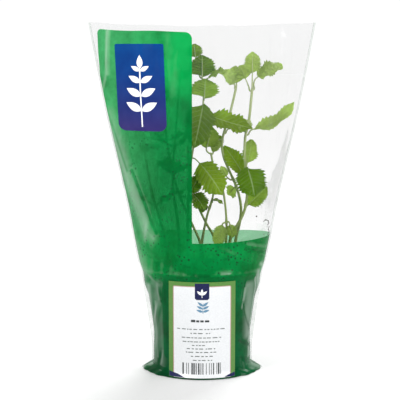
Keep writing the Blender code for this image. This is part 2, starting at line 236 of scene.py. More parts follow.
floor.name = "floor"
floor.data.materials.append(floor_paint)

surround = bpy.data.worlds.new("white_surround")
bpy.context.scene.world = surround
surround.use_nodes = True
surround.node_tree.nodes.clear()
path = add_node(surround.node_tree, "LightPath")
strength = add_node(  # the light it gives, and how bright it is seen
    surround.node_tree, "MapRange",
    {"Value": (path, "Is Camera Ray"), "To Min": 0.62, "To Max": 1.04},
)
white = add_node(surround.node_tree, "Background", {"Color": "#FFFFFF", "Strength": strength})
add_node(surround.node_tree, "OutputWorld", {"Surface": white})
LAMPS_AIM = (0, 0, 0.17)


def soft_lamp(name, place, size, watts, spread=180):
    bpy.ops.object.light_add(type="AREA", location=place)
    lamp = bpy.context.object
    lamp.name = name
    lamp.data.size = size
    lamp.data.energy = watts
    lamp.data.spread = math.radians(spread)
    lamp.rotation_euler = (Vector(LAMPS_AIM) - Vector(place)).to_track_quat("-Z", "Y").to_euler()
    return lamp


soft_lamp("key_lamp", (-1.0, -1.0, 1.1), 0.6, 15)
soft_lamp("fill_lamp", (1.2, -0.8, 0.7), 0.5, 9)
soft_lamp("back_lamp", (0.4, 1.2, 1.2), 1.0, 6.5, spread=75)

# %% [markdown]
# ## The film's surface
# The sleeve is two panels of film welded down both sides: round on the pot, flat and wide at the top.
# One function gives the surface of a panel at any place across and up, so that the film itself, the
# label and everything printed on it lie on the same surface. It reads a short table of the cone's
# half width and half depth at each height, with a smooth curve between the rows.

# %% the cone's outline
FILM_TOP, MOUTH_HALF = 314, 101.7
WELD = 1.6
FILM = 0.15
CONE = np.array(
    [  # height, half width, half depth, how pointed the section is; millimetres
        (0, 55.4, 48.2, 0.3), (1.6, 55.0, 48.0, 0.3), (3.2, 51.2, 47.0, 0.2), (4.8, 47.4, 46.2, 0.05),
        (6.5, 46.0, 45.8, 0), (9.5, 45.7, 45.6, 0), (20, 45.8, 45.8, 0), (42, 48.4, 48.4, 0),
        (64, 51.6, 51.6, 0), (79, 53.9, 53.9, 0), (91, 55.6, 54.6, 0), (98, 58, 52.6, 0.05),
        (109, 60.4, 50.6, 0.1), (123, 63.1, 48.8, 0.2), (145, 66.9, 46.4, 0.35), (182, 75, 42, 0.6),
        (218, 83.1, 36.5, 0.8),
        (247, 89.3, 31, 0.9), (282, 95.8, 25, 1), (FILM_TOP, MOUTH_HALF, 18.5, 1),
    ]
)


def smooth_between(t, step, first, last, slope_first, slope_last):
    """A smooth curve from one known value to the next, a step away, with a slope given at each."""
    ends = (1 + 2 * t) * (1 - t) ** 2 * first + t * t * (3 - 2 * t) * last
    return ends + t * (1 - t) ** 2 * step * slope_first + t * t * (t - 1) * step * slope_last


def along_cone(column, height):
    """One column of the table at any height, on a smooth curve through its rows."""
    known, values = CONE[:, 0], CONE[:, column]
    slopes = np.gradient(values, known)
    i = np.clip(np.searchsorted(known, height) - 1, 0, len(known) - 2)
    step = known[i + 1] - known[i]
    t = (height - known[i]) / step
    return smooth_between(t, step, values[i], values[i + 1], slopes[i], slopes[i + 1])


def weld_width(height):
    """The welded strip at each side: narrow up the cone, wider where it stands out beside the pot."""
    return WELD + 2.2 * smoothstep(16, 40, height) * smoothstep(81, 66, height)


def tube_width(height):
    """Half the width between the two welds."""
    return along_cone(1, height) - weld_width(height)


print("half width and depth at 200 mm:", [round(float(along_cone(column, 200)), 1) for column in (1, 2)])

# %% [markdown]
# Thin film never hangs smooth. It is pulled tight over the pot's rim, hollow just under it, creased
# where it turns from round to flat, and rippled everywhere between. Each fold that matters is one
# line of numbers: where it starts and ends, how wide and how high it is. Cloth simulation would give
# other folds than the real ones, so they are drawn one by one, and fine noise fills what is left.
# A crease also bends the light more than a mesh this coarse can, so light and shade are painted on
# from two more tables: a second gives painted highlights where the film shines, and creases crazed
# white, and a third gives painted shade in the hollow of a fold and inside the folded foot, and
# painted shadows of leaves behind the film.

# %% folds
FRONT_FOLDS = (  # start x, z; end x, z; half width; height; millimetres
    (-91, 240, -38, 116, 7.0, 1.7), (-63, 186, -40, 128, 1.4, -1.0), (-46, 140, -50, 116, 2.6, 1.2),
    (-96, 300, -86, 262, 2.2, 1.0), (-84, 310, -85, 266, 1.1, 0.8), (-90, 262, -74, 214, 3.0, -0.8),
    (-58, 300, -60, 210, 8.0, 0.6), (-20, 300, -12, 200, 5.0, 0.9), (-30, 225, -24, 130, 6.0, -0.8),
    (40, 116, 61, 106, 1.6, -1.6), (38, 120, 62, 111, 2.2, 1.2), (12, 118, 44, 102, 2.4, 0.9),
    (-60, 112, -22, 98, 3.0, -0.9), (-48, 91, -39, 85, 1.6, 1.0), (-39, 85, -37, 69, 1.8, 1.1),
    (-37, 69, -45, 36, 2.0, 1.1), (-42, 66, -47, 30, 1.4, -0.7), (39, 86, 36, 70, 1.4, -1.2),
    (36, 70, 43, 39, 1.5, -1.2), (47, 89, 43, 38, 1.6, 1.3), (33, 33, 44, 23, 1.3, -1.2),
    (14, 96, 27, 95, 1.5, 0.9), (52, 99, 60, 90, 1.5, 0.8), (-14, 95, -4, 93.5, 1.2, -0.8),
    (70, 300, 62, 190, 4.0, 1.2), (84, 306, 72, 205, 2.6, 0.9), (56, 200, 50, 130, 3.0, 1.0),
    (62, 175, 56, 128, 1.6, -0.9), (24, 308, 20, 230, 5.0, 0.7), (-40, 30, -47, 4, 2.2, 1.2),
    (40, 26, 46, 4, 2.2, 1.1), (-36, 22, -40, 3, 1.4, -0.9), (35, 16, 38, 2, 1.3, -0.8),
)
BACK_FOLDS = (
    (-88, 250, -40, 116, 6.0, 1.5), (86, 246, 38, 118, 6.0, 1.5), (-30, 300, -22, 180, 5.0, 1.0),
    (26, 290, 18, 160, 4.5, 0.9), (-60, 300, -52, 190, 3.0, -0.8), (60, 280, 50, 180, 3.0, 0.8),
    (-48, 120, -20, 100, 2.4, -1.2), (46, 118, 16, 101, 2.2, 1.1), (-8, 118, 4, 98, 2.0, 0.8),
    (-40, 86, -34, 40, 1.8, 1.0), (38, 84, 32, 30, 1.8, -0.9), (-12, 84, -10, 20, 2.2, 0.8),
    (14, 80, 18, 12, 2.0, -0.7), (-30, 30, -36, 3, 1.8, 1.0), (28, 26, 34, 3, 1.8, 1.0),
)

# %% marks: painted highlights, crazing and painted shade
PAINTED_HIGHLIGHTS_AND_CRAZING = (  # start x, z; end x, z; half width; strength: painted highlights on facets that shine, and creases crazed white
    (-60, 114, -49, 92, 5.0, 0.22), (42, 82, 41, 34, 3.6, 0.42), (50, 93, 51, 76, 2.2, 0.6),
    (48, 88, 43, 39, 0.9, 0.8), (-40, 84, -39, 12, 7.0, 0.20), (38.5, 80, 36, 62, 1.1, 0.6),
    (43, 39, 42, 14, 1.2, 0.6), (-42, 66, -40, 14, 1.5, 0.35), (-47, 89, -38, 83, 2.0, 0.3),
    (-40, 84, -37, 66, 1.4, 0.3), (-37, 66, -43, 34, 1.6, 0.3), (-48, 80, -46, 20, 2.2, 0.55),
    (-86, 232, -46, 126, 6.5, 0.44), (-78, 206, -52, 128, 1.3, 0.35), (-48, 131, -43, 124, 2.4, 0.5),
    (-83.5, 309, -84.7, 268, 1.9, 0.45), (-84, 272, -90, 252, 1.4, 0.3), (17, 95.3, 24, 95.0, 0.9, 0.55),
    (53, 99, 60, 90, 1.8, 0.6), (-54, 1.6, -45, 5.2, 0.9, 0.8), (44, 6.4, 54, 1.8, 2.0, 0.5),
    (41, 10, 46, 5.5, 1.0, 0.6), (40, 119, 60, 113, 1.6, 0.2), (-30, 303, -26, 250, 3.5, 0.06),
    (60, 300, 60, 150, 2.0, 0.1), (74, 306, 66, 170, 1.6, 0.14), (86, 300, 74, 200, 2.4, 0.12),
    (8, 306, 14, 250, 2.0, 0.08), (-62, 160, -45, 120, 5.0, 0.14),
)
PAINTED_SHADE_MARKS = (  # painted shade: the hollow side of a crease, the folded foot, and shadows of leaves behind the film
    (-62, 183, -40, 129, 0.9, 0.55), (-38, 92, 34, 92.2, 1.2, 0.35), (-8, 94, 6, 93.6, 1.4, 0.7),
    (40, 115, 60, 108, 1.0, 0.7), (39, 86, 36, 70, 0.8, 0.5), (36, 70, 43, 38, 0.8, 0.3),
    (33, 32, 44, 23, 1.1, 0.75), (-33, 88, -31, 20, 2.2, 0.3), (-50, 1.8, -30, 1.6, 1.6, 0.8),
    (-44, 6.5, -34, 5.0, 1.2, 0.5), (-46, 30, -44, 9, 1.0, 0.4), (-17, 243, -14, 228, 5.0, 0.35),
    (-36, 214, -18, 150, 8.0, 0.2),
    (-16, 102, -11, 101, 1.0, 0.5), (19, 107, 30, 111, 1.0, 0.4), (35, 16, 44, 7, 1.2, 0.5),
    (-72, 255, -58, 205, 3.0, 0.12), (-52, 208, -28, 196, 5.0, 0.14), (-92, 254, -66, 182, 1.2, 0.3),
)


def by_line(x, z, ends):
    """How far along a straight line each place lies, from 0 to 1, and how far off the line it is."""
    x0, z0, x1, z1 = ends
    run = np.array((x1 - x0, z1 - z0), float)
    share = np.clip(((x - x0) * run[0] + (z - z0) * run[1]) / (run @ run), 0, 1)
    return share, np.hypot(x - x0 - share * run[0], z - z0 - share * run[1])


def marks(x, z, rows):
    """The strongest of a table's marks at each place."""
    strongest = np.zeros_like(x)
    for *ends, width, strength in rows:
        away = by_line(x, z, ends)[1]
        strongest = np.maximum(strongest, strength * np.exp(-((away / width) ** 2)))
    return strongest


# %% the film's surface
RIPPLES = ((46, 7, 0.32), (21, 4.5, 0.2), (9, 3, 0.09))  # length, width, height; millimetres
POT_RIM, UNDER_RIM = (92.5, 2.0, 0.7), (86, 3.2, -0.8)  # height, half width, how proud
RUFFLED_BELOW = 9


def fold_height(x, z, side):
    """How far the film stands proud of the smooth cone at each place, in millimetres."""
    height = np.zeros_like(x)
    for *ends, width, peak in FRONT_FOLDS if side < 0 else BACK_FOLDS:
        share, away = by_line(x, z, ends)
        height += peak * np.sin(np.pi * np.clip(share, 0.06, 0.94)) ** 0.6 * np.exp(-((away / width) ** 2))
    height += sum(peak * np.exp(-(((z - at) / width) ** 2)) for at, width, peak in (POT_RIM, UNDER_RIM))
    for index, (long, wide, peak) in enumerate(RIPPLES):
        offset = 40 * index + 100 * side
        ripple = [noise.noise((a / wide, b / long, offset)) for a, b in zip(x.ravel(), z.ravel())]
        height += peak * np.array(ripple).reshape(x.shape) * (1.6 - 0.6 * smoothstep(90, 130, z))
    turn = np.arcsin(np.clip(x / tube_width(z), -1, 1))
    ruffle = np.sin(11 * turn + 2 * side) + 0.6 * np.sin(23 * turn + 1.3)
    to_side = 0.35 + 0.65 * smoothstep(0.45, 0.9, np.abs(turn))
    height += 0.9 * ruffle * smoothstep(RUFFLED_BELOW, 1, z) * to_side
    if side < 0:
        on_label = smoothstep(36, 30, np.abs(x)) * smoothstep(94, 88, z)
        height = height * (1 - 0.9 * on_label)
    return height * smoothstep(0, 9, tube_width(z) - np.abs(x) + 1)


def painted_fold_shading_and_crazing(x, z, side):
    """Above zero on painted highlights and on creases crazed white, below zero on painted shade in the
    hollow beside a fold.
    """
    # Painted shading of every fold, as if lit from the upper left: lighter where it faces that way, darker
    # where it faces away.
    slope = fold_height(x + 0.6, z - 0.6, side) - fold_height(x - 0.6, z + 0.6, side)
    tone = 0.28 * np.clip(slope, -1.2, 1.2)
    return tone + marks(x, z, PAINTED_HIGHLIGHTS_AND_CRAZING) - marks(x, z, PAINTED_SHADE_MARKS) if side < 0 else tone


def on_film(x, z, side, proud=0.0, folds=True):
    """Points on a panel's outside, in metres, for places given in millimetres as seen from the front."""
    x, z = np.broadcast_arrays(np.asarray(x, float), np.asarray(z, float))
    width = tube_width(z)
    sine = np.clip(x / width, -1, 1)
    cosine = np.sqrt(1 - sine * sine)
    depth = along_cone(2, z) * cosine ** (1 + along_cone(3, z)) + 0.12
    away = proud + (fold_height(x, z, side) if folds else 0)
    flat = np.clip(cosine, 0.05, 1) / along_cone(2, z)
    out_x, out_y = sine / width, flat
    size = np.hypot(out_x, out_y)
    return MM * np.stack((x + away * out_x / size, side * (depth + away * out_y / size), z), -1)


print("front of the film at 60 mm:", [round(float(v) / MM, 1) for v in on_film(0, 60, -1)])

# %% [markdown]
# ## What is printed, and where
# Where the ink stops is kept as a distance in millimetres at each corner of the mesh: above zero is
# inked, below is clear. The shader cuts it at zero, so that the edge is sharp even where the mesh is
# coarse. An image would do this too, but a distance needs no file and stays crisp close up.

# %% edges of the print
WINDOW_LEFT, WINDOW_FOOT, WINDOW_CORNER = -8.8, 121.5, 4.5
MARGIN_TOP, PANEL_CORNER, OUTER_CORNER = 5.6, 6.5, 4.0


def cornered(first, second, radius):
    """Above zero where both distances are, with a round corner where the two edges meet."""
    return radius - np.hypot(np.maximum(radius - first, 0), np.maximum(radius - second, 0))


def top_edge(x):
    """The film's cut edge at the mouth, which sags a little in the middle."""
    return FILM_TOP - 3.0 * (1 - np.clip(np.abs(x) / MOUTH_HALF, 0, 1) ** 2) + 0.35 * np.sin(x / 9.0)


def ink_front(x, z):
    """The green band, with the tall panel above its left half and the clear window at its right."""
    band = z - WINDOW_FOOT - 2.0 * (x / 60) ** 2
    window = cornered(x - WINDOW_LEFT, band, WINDOW_CORNER)
    below_top = top_edge(x) - z - MARGIN_TOP
    from_side = along_cone(1, z) - np.abs(x) - 1.0 - 5.8 * np.clip((z - 262) / 44, 0, 1)
    left_end = cornered(from_side, below_top, OUTER_CORNER)
    panel = np.minimum(left_end, cornered(WINDOW_LEFT - x, below_top, PANEL_CORNER))
    beside = 1.2 * smoothstep(92, 82, z) * smoothstep(22, 42, z)
    return np.minimum(np.minimum(-window, np.maximum(panel, -band)), along_cone(1, z) - np.abs(x) - beside)


def ink_back(x, z):
    """On the back the green stops at the top of the band."""
    return 120.5 + 4.0 * (x / 60) ** 2 - z


inside = ink_front(np.array(-50.0), np.array(250.0))
print("from the middle of the tall panel to the ink's edge, mm:", round(float(inside), 1))

# %% [markdown]
# ## The film's finish
# Cast polypropylene film is clear and glossy: it shows as a faint haze, soft streaks where it is
# stretched, and a bright edge where it turns away, which is Fresnel reflection. Green flexographic ink
# is nearly opaque but lets some light through, so that the black pot darkens it and light from behind
# makes it glow; the ink's colour also carries both as painted shade and painted light, with painted
# highlights and shade on its folds. Small dark specks are damp compost that clings to the inside.

# %% green ink: its tones over the sleeve
film_print, tree, place = new_material("cast_polypropylene_film_green_ink")
axes = add_node(tree, "SeparateXYZ", {"Vector": place})
up = add_node(tree, "MapRange", {"Value": (axes, "Z"), "From Max": FILM_TOP * MM})
# The green by height: darker low down, as painted shade of the black pot behind the film, and a little
# darker again in the middle of the tall panel.
by_height = add_node(
    tree, "ValToRGB", {"Fac": up},
    stops=[(0.0, "#006034"), (0.27, "#00763C"), (0.3, "#009648"), (0.4, "#008A42"),
           (0.55, "#027436"), (0.68, "#008440"), (0.80, "#069448"), (1.0, "#1E9A50")],
)
# Painted sheen: the ink turns greyer and paler towards the left side of the sleeve, where the film reflects
# white light.
to_left = add_node(
    tree, "MapRange", {"Value": (axes, "X"), "From Min": -0.036, "From Max": -0.088, "To Max": 0.75},
)
left_sheen = add_node(tree, "MixRGB", {"Fac": to_left, "Color1": by_height, "Color2": "#4FA46A"})
cloud = add_node(
    tree, "TexNoise", {"Vector": place, "Scale": patches(33.3), "Detail": 5.0, "Roughness": 0.65},
)
worn = add_node(tree, "ValToRGB", {"Fac": cloud}, stops=[(0.36, "#ABBFB0"), (0.62, "#FFFFFF")])
toned = add_node(tree, "MixRGB", {"Fac": 1.0, "Color1": left_sheen, "Color2": worn}, blend_type="MULTIPLY")
# A strip beside the window is brighter: painted light from behind, shining through the ink.
backlit_x = add_node(
    tree, "MapRange", {"Value": (axes, "X"), "From Min": -0.036, "From Max": -0.022, "To Max": 0.7},
)
backlit_z = add_node(tree, "MapRange", {"Value": (axes, "Z"), "From Min": 0.244, "From Max": 0.264})
backlit_strip = add_node(tree, "Math", {0: backlit_x, 1: backlit_z}, operation="MULTIPLY")
toned = add_node(tree, "MixRGB", {"Fac": backlit_strip, "Color1": toned, "Color2": "#00A850"})
# Lower down the ink is darker near the window: painted shadow of the leaves that press on the film behind
# it.
shade_x = add_node(
    tree, "MapRange", {"Value": (axes, "X"), "From Min": -0.036, "From Max": -0.014, "To Max": 0.75},
)
shade_z = add_node(tree, "MapRange", {"Value": (axes, "Z"), "From Min": 0.252, "From Max": 0.232})
leaf_shadow = add_node(tree, "Math", {0: shade_x, 1: shade_z}, operation="MULTIPLY")
wide = add_node(tree, "MapRange", {"Value": (axes, "Z"), "From Min": 0.118, "From Max": 0.135})
leaf_shadow = add_node(tree, "Math", {0: leaf_shadow, 1: wide}, operation="MULTIPLY")
shaded = add_node(tree, "MixRGB", {"Fac": leaf_shadow, "Color1": toned, "Color2": "#007434"})
print("tones of ink:", len(tree.nodes), "nodes")

# %% specks of soil, and painted light and shade on the creases in the ink
# A dot in each cell of about 3 mm, kept only in patches, and only where wet leaves brush the film.
cell = add_node(tree, "TexVoronoi", {"Vector": place, "Scale": patches(3.03), "Randomness": 1.0})
dot = add_node(tree, "MapRange", {"Value": cell, "From Min": 0.38, "From Max": 0.20})
patch = add_node(tree, "TexNoise", {"Vector": place, "Scale": patches(16.7), "Detail": 3.0})
patch = add_node(tree, "MapRange", {"Value": patch, "From Min": 0.45, "From Max": 0.58})
zone = add_node(tree, "ValToRGB", {"Fac": up}, stops=[(0.2, 0.0), (0.3, 1.0), (0.62, 0.8), (0.76, 0.0)])
speck = add_node(tree, "Math", {0: dot, 1: patch}, operation="MULTIPLY")
speck = add_node(tree, "Math", {0: speck, 1: zone}, operation="MULTIPLY")
ink = add_node(tree, "MixRGB", {"Fac": speck, "Color1": shaded, "Color2": "#15452A"})
# Painted light and shade on the folds: a pale green where the fold shading is above zero, for painted
# highlights and crazed creases, and a dark green in its painted shade.
fold_shading_and_crazing = add_node(tree, "Attribute", attribute_name="painted_fold_shading_and_crazing")
light = add_node(
    tree, "MapRange", {"Value": (fold_shading_and_crazing, "Fac"), "From Min": 0.03, "From Max": 1.0, "To Max": 0.85},
)
dark = add_node(
    tree, "MapRange", {"Value": (fold_shading_and_crazing, "Fac"), "From Min": -0.03, "From Max": -1.0, "To Max": 0.8},
)
ink = add_node(tree, "MixRGB", {"Fac": light, "Color1": ink, "Color2": "#BFD2C3"})
ink = add_node(tree, "MixRGB", {"Fac": dark, "Color1": ink, "Color2": "#03351B"})
print("with specks and creases:", len(tree.nodes), "nodes")

# %% how ink takes light: shiny in front, a glow from behind, and a little see-through above the pot
crinkle = add_node(tree, "TexNoise", {"Vector": place, "Scale": patches(3.85), "Detail": 2.0})
bump = add_node(tree, "Bump", {"Height": crinkle, "Strength": 0.12, "Distance": 0.0004})
front = add_node(
    tree, "BsdfPrincipled",
    {"Base Color": ink, "Roughness": 0.24, "Specular IOR Level": 0.07, "Normal": bump},
)
# The back panel is seen from inside, lit from behind, so its ink is painted paler, with more glow: painted
# light coming through it.
behind = add_node(tree, "MapRange", {"Value": (axes, "Y"), "From Min": 0.001, "From Max": 0.004})
lit = add_node(tree, "Math", {0: behind, 1: 0.55}, operation="MULTIPLY")
through = add_node(tree, "MixRGB", {"Fac": lit, "Color1": ink, "Color2": "#C4F0D2"})
glow = add_node(tree, "BsdfTranslucent", {"Color": through, "Normal": bump})
share = add_node(tree, "MapRange", {"Value": behind, "To Min": 0.26, "To Max": 0.6})
inked = add_node(tree, "MixShader", {"Fac": share, 1: front, 2: glow})
tint = add_node(tree, "BsdfTransparent", {"Color": "#3FC070"})
above_pot = add_node(
    tree, "MapRange",
    {"Value": (axes, "Z"), "From Min": 0.09, "From Max": 0.1, "To Min": 0.04, "To Max": 0.13},
)
inked = add_node(tree, "MixShader", {"Fac": above_pot, 1: inked, 2: tint})
print("with the ink's own shaders:", len(tree.nodes), "nodes")

# %% the clear film, and the cut between it and the ink
stretched = add_node(
    tree, "Mapping", {"Vector": place, "Scale": (patches(14.3), patches(14.3), patches(143))},
)
# Haze: faint streaks, a little more towards the mouth, and more on a crease, where it carries the painted
# highlights and the painted shade of the folds.
streak = add_node(tree, "TexNoise", {"Vector": stretched, "Scale": 1.0, "Detail": 3.0})
haze = add_node(
    tree, "MapRange", {"Value": streak, "From Min": 0.5, "From Max": 0.75, "To Min": 0.0, "To Max": 0.02},
)
higher = add_node(tree, "MapRange", {"Value": up, "From Min": 0.6, "From Max": 0.95, "To Max": 0.045})
haze = add_node(tree, "Math", {0: haze, 1: higher}, operation="ADD")
creased = add_node(tree, "Math", {0: (fold_shading_and_crazing, "Fac")}, operation="ABSOLUTE")
marked = add_node(tree, "MapRange", {"Value": creased, "From Min": 0.05, "From Max": 1.0, "To Max": 0.3})
haze = add_node(tree, "Math", {0: haze, 1: marked}, operation="ADD")
clear = add_node(tree, "BsdfTransparent", {"Color": "#FCFCFC"})
gloss = add_node(tree, "BsdfAnisotropic", {"Color": "#FFFFFF", "Roughness": 0.1, "Normal": bump})
turned_away = add_node(tree, "Fresnel", {"IOR": 1.25, "Normal": bump})
shine = add_node(tree, "Math", {0: turned_away, 1: 0.35}, operation="MULTIPLY")
clear = add_node(tree, "MixShader", {"Fac": shine, 1: clear, 2: gloss})
# Painted shade: the haze turns dark grey in the hollows of the folds.
grey = add_node(tree, "MixRGB", {"Fac": dark, "Color1": "#D3D6D7", "Color2": "#3C3F3A"})
milky_haze_and_painted_shade = add_node(tree, "BsdfDiffuse", {"Color": grey})
clear = add_node(tree, "MixShader", {"Fac": haze, 1: clear, 2: milky_haze_and_painted_shade})
edge = add_node(tree, "Attribute", attribute_name="ink_edge")
cut = add_node(tree, "MapRange", {"Value": (edge, "Fac"), "From Min": -0.15, "From Max": 0.15})
both = add_node(tree, "MixShader", {"Fac": cut, 1: clear, 2: inked})
add_node(tree, "OutputMaterial", {"Surface": both})
print(film_print.name, len(tree.nodes), "nodes")

# %% the inner face of a panel, and the welded strip
film_inside, tree, place = new_material("cast_polypropylene_film_inner_face")
smear = add_node(tree, "TexNoise", {"Vector": place, "Scale": patches(33.3), "Detail": 2.0})
faint = add_node(tree, "MapRange", {"Value": smear, "To Min": 0.0, "To Max": 0.01})
gloss = add_node(tree, "BsdfAnisotropic", {"Color": "#FFFFFF", "Roughness": 0.12})
clear = add_node(tree, "BsdfTransparent", {"Color": "#FCFCFC"})
both = add_node(tree, "MixShader", {"Fac": faint, 1: clear, 2: gloss})
add_node(tree, "OutputMaterial", {"Surface": both})

film_weld, tree, place = new_material("heat_sealed_film_edge")
crimp = add_node(tree, "TexNoise", {"Vector": place, "Scale": patches(8.33), "Detail": 2.0})
bump = add_node(tree, "Bump", {"Height": crimp, "Strength": 0.1, "Distance": 0.0003})
milky = add_node(
    tree, "MapRange", {"Value": crimp, "From Min": 0.3, "From Max": 0.7, "To Min": 0.14, "To Max": 0.24},
)
front = add_node(
    tree, "BsdfPrincipled",
    {"Base Color": "#98A89C", "Roughness": 0.3, "Alpha": milky, "Normal": bump},
)
add_node(tree, "OutputMaterial", {"Surface": front})
print(film_inside.name, film_weld.name)

# %% [markdown]
# ## The two panels and their welds
# Each panel is one fine grid laid on the cone's surface, with the distance to the ink's edge and the
# strength of the marks kept at each corner, and then given the film's thickness. The inner face
# takes the clear finish, because the ink is on the outside only. The weld is a narrow crimped strip
# down each side, wider where it stands out beside the pot.

# %% panels
def keep_values(obj, name, values):
    """Keeps a number at each corner, for a shader to read."""
    made = obj.data.attributes.new(name, "FLOAT", "POINT")
    made.data.foreach_set("value", np.asarray(values, np.float32))


def film_panel(name, side, ink_at):
    panel = grid(name, 176, 246)
    flat = corners(panel)
    sine = np.sin(-side * flat[:, 0] * math.pi / 2)
    z = (flat[:, 1] + 1) / 2 * top_edge(MOUTH_HALF * sine)
    x = tube_width(z) * sine
    set_corners(panel, on_film(x, z, side))
    keep_values(panel, "ink_edge", ink_at(x, z))
    keep_values(panel, "painted_fold_shading_and_crazing", painted_fold_shading_and_crazing(x, z, side))
    panel.data.materials.append(film_print)
    panel.data.materials.append(film_inside)
    modify(panel, "SOLIDIFY", thickness=FILM * MM, offset=-1, material_offset=1)
    return panel


film_front, film_back = film_panel("film_front", -1, ink_front), film_panel("film_back", 1, ink_back)
finished(film_front, "printed_film", "sleeve_front")
finished(film_back, "printed_film", "sleeve_back")
print("triangles in a panel:", 2 * len(film_front.data.polygons))

# %% welded strips
def weld_strip(name, hand):
    strip = grid(name, 6, 170)
    flat = corners(strip)
    out, z = (flat[:, 0] + 1) / 2, (flat[:, 1] + 1) / 2 * (FILM_TOP - 0.2)
    x = tube_width(z) - 0.5 + (weld_width(z) + 0.5) * out
    y = out * (0.35 * np.sin(z / 9.5) + 0.2 * np.sin(z / 5.3 + hand))
    set_corners(strip, MM * np.stack((hand * x, y, z), -1))
    modify(strip, "SOLIDIFY", thickness=0.25 * MM, offset=0)
    strip.data.materials.append(film_weld)
    face_out(strip)
    return strip


finished(join("film_welds", [weld_strip("weld_left", -1), weld_strip("weld_right", 1)]), "printed_film")
print("welds done")

# %% [markdown]
# ## The label
# A rectangle of coated paper, printed with a green border and a thin line inside it, and stuck to the
# film. Its words are left out: rows of short bars stand for text, and a plain sprig for the
# picture. The border uses the same distance trick as the film; the bars and the sprig are thin
# shapes of ink laid a hair above the paper, so that they stay sharp. Each shape is one flat face,
# cut into strips by planes, so that it can bend with the film.

# %% paper
LABEL_HALF, LABEL_FOOT, LABEL_HEAD, LABEL_CORNER = 28.8, 1.5, 88.5, 5.0
LABEL_PROUD, INK_PROUD = 0.85, 0.88
paper_print, tree, place = new_material("coated_paper_with_green_border")
fibre = add_node(tree, "TexNoise", {"Vector": place, "Scale": patches(1.111), "Detail": 4.0})
white = add_node(tree, "ValToRGB", {"Fac": fibre}, stops=[(0.3, "#DCDEE0"), (0.7, "#E6E8EA")])
mottle = add_node(tree, "ValToRGB", {"Fac": fibre}, stops=[(0.3, "#447820"), (0.7, "#52862A")])
edge = add_node(tree, "Attribute", attribute_name="edge_distance")
line = add_node(tree, "MapRange", {"Value": (edge, "Fac"), "From Min": 4.3, "From Max": 4.45})
border = add_node(tree, "MapRange", {"Value": (edge, "Fac"), "From Min": 3.6, "From Max": 3.75})
inner = add_node(tree, "MixRGB", {"Fac": line, "Color1": "#B08C84", "Color2": white})
colour = add_node(tree, "MixRGB", {"Fac": border, "Color1": mottle, "Color2": inner})
bump = add_node(tree, "Bump", {"Height": fibre, "Strength": 0.08, "Distance": 0.0001})
skin = add_node(
    tree, "BsdfPrincipled",
    {"Base Color": colour, "Roughness": 0.38, "Coat Weight": 0.25, "Coat Roughness": 0.2, "Normal": bump},
)
add_node(tree, "OutputMaterial", {"Surface": skin})

label = grid("paper_label", 60, 90)
flat = corners(label)
x, z = flat[:, 0] * LABEL_HALF, LABEL_FOOT + (flat[:, 1] + 1) / 2 * (LABEL_HEAD - LABEL_FOOT)
keep_values(label, "edge_distance", cornered(LABEL_HALF - np.abs(x), LABEL_HEAD - z, LABEL_CORNER))
set_corners(label, on_film(x, z, -1, proud=LABEL_PROUD))
modify(label, "SOLIDIFY", thickness=0.22 * MM, offset=-1)
label.data.materials.append(paper_print)
finished(label, "label_paper", "label")
print("label", [round(v / MM, 1) for v in label.dimensions])

# %% ink shapes
def flat_ink(name, colour_name, hex_colour):
    made, tree, place = new_material(colour_name)
    dots = add_node(tree, "TexNoise", {"Vector": place, "Scale": patches(1.429), "Detail": 2.0})
    pale = [min(1, v * 1.25 + 0.01) for v in linear(hex_colour)[:3]] + [1.0]
    tone = add_node(tree, "ValToRGB", {"Fac": dots}, stops=[(0.35, hex_colour), (0.75, pale)])
    skin = add_node(
        tree, "BsdfPrincipled", {"Base Color": tone, "Roughness": 0.35, "Specular IOR Level": 0.15},
    )
    add_node(tree, "OutputMaterial", {"Surface": skin})
    return made


STRIP_WIDTH, STRIP_HEIGHT, INK_THICKNESS = 1.5, 2.5, 0.06


def ink_shapes(name, outlines, finish, proud):
    """Closed outlines in millimetres on the front, filled and laid on the film's surface."""
    mesh = bpy.data.meshes.new(name)
    shapes = bmesh.new()
    for outline in outlines:
        shapes.faces.new([shapes.verts.new((x, 0, z)) for x, z in outline])
    bmesh.ops.remove_doubles(shapes, verts=shapes.verts, dist=0.02)
    places = np.array([v.co[:] for v in shapes.verts])
    for axis, step in ((0, STRIP_WIDTH), (2, STRIP_HEIGHT)):
        for cut in np.arange(places[:, axis].min() + step / 2, places[:, axis].max(), step):
            facing = Vector((axis == 0, 0, axis == 2))
            everything = shapes.verts[:] + shapes.edges[:] + shapes.faces[:]
            bmesh.ops.bisect_plane(shapes, geom=everything, plane_co=float(cut) * facing, plane_no=facing)
    flat = np.array([v.co[:] for v in shapes.verts])
    for vert, point in zip(shapes.verts, on_film(flat[:, 0], flat[:, 2], -1, proud)):
        vert.co = point
    for face in shapes.faces:
        face.normal_update()
        if face.normal.y > 0:
            face.normal_flip()
    shapes.to_mesh(mesh)
    shapes.free()
    made = new_object(name, mesh)
    modify(made, "SOLIDIFY", thickness=INK_THICKNESS * MM, offset=1)
    made.data.materials.append(finish)
    return made


def bar(x0, z0, x1, z1):
    return [(x0, z0), (x1, z0), (x1, z1), (x0, z1)]


def leaf_outline(x, z, angle, length, width):
    """A plain pointed leaf from its foot at x, z."""
    turn = math.radians(angle)
    sides = [(t, width / 2 * math.sin(math.pi * t ** 0.85)) for t in np.linspace(0, 1, 9)]
    around = sides + [(t, -w) for t, w in sides[-2:0:-1]]
    c, s = math.cos(turn), math.sin(turn)
    return [(x + length * t * c - w * s, z + length * t * s + w * c) for t, w in around]


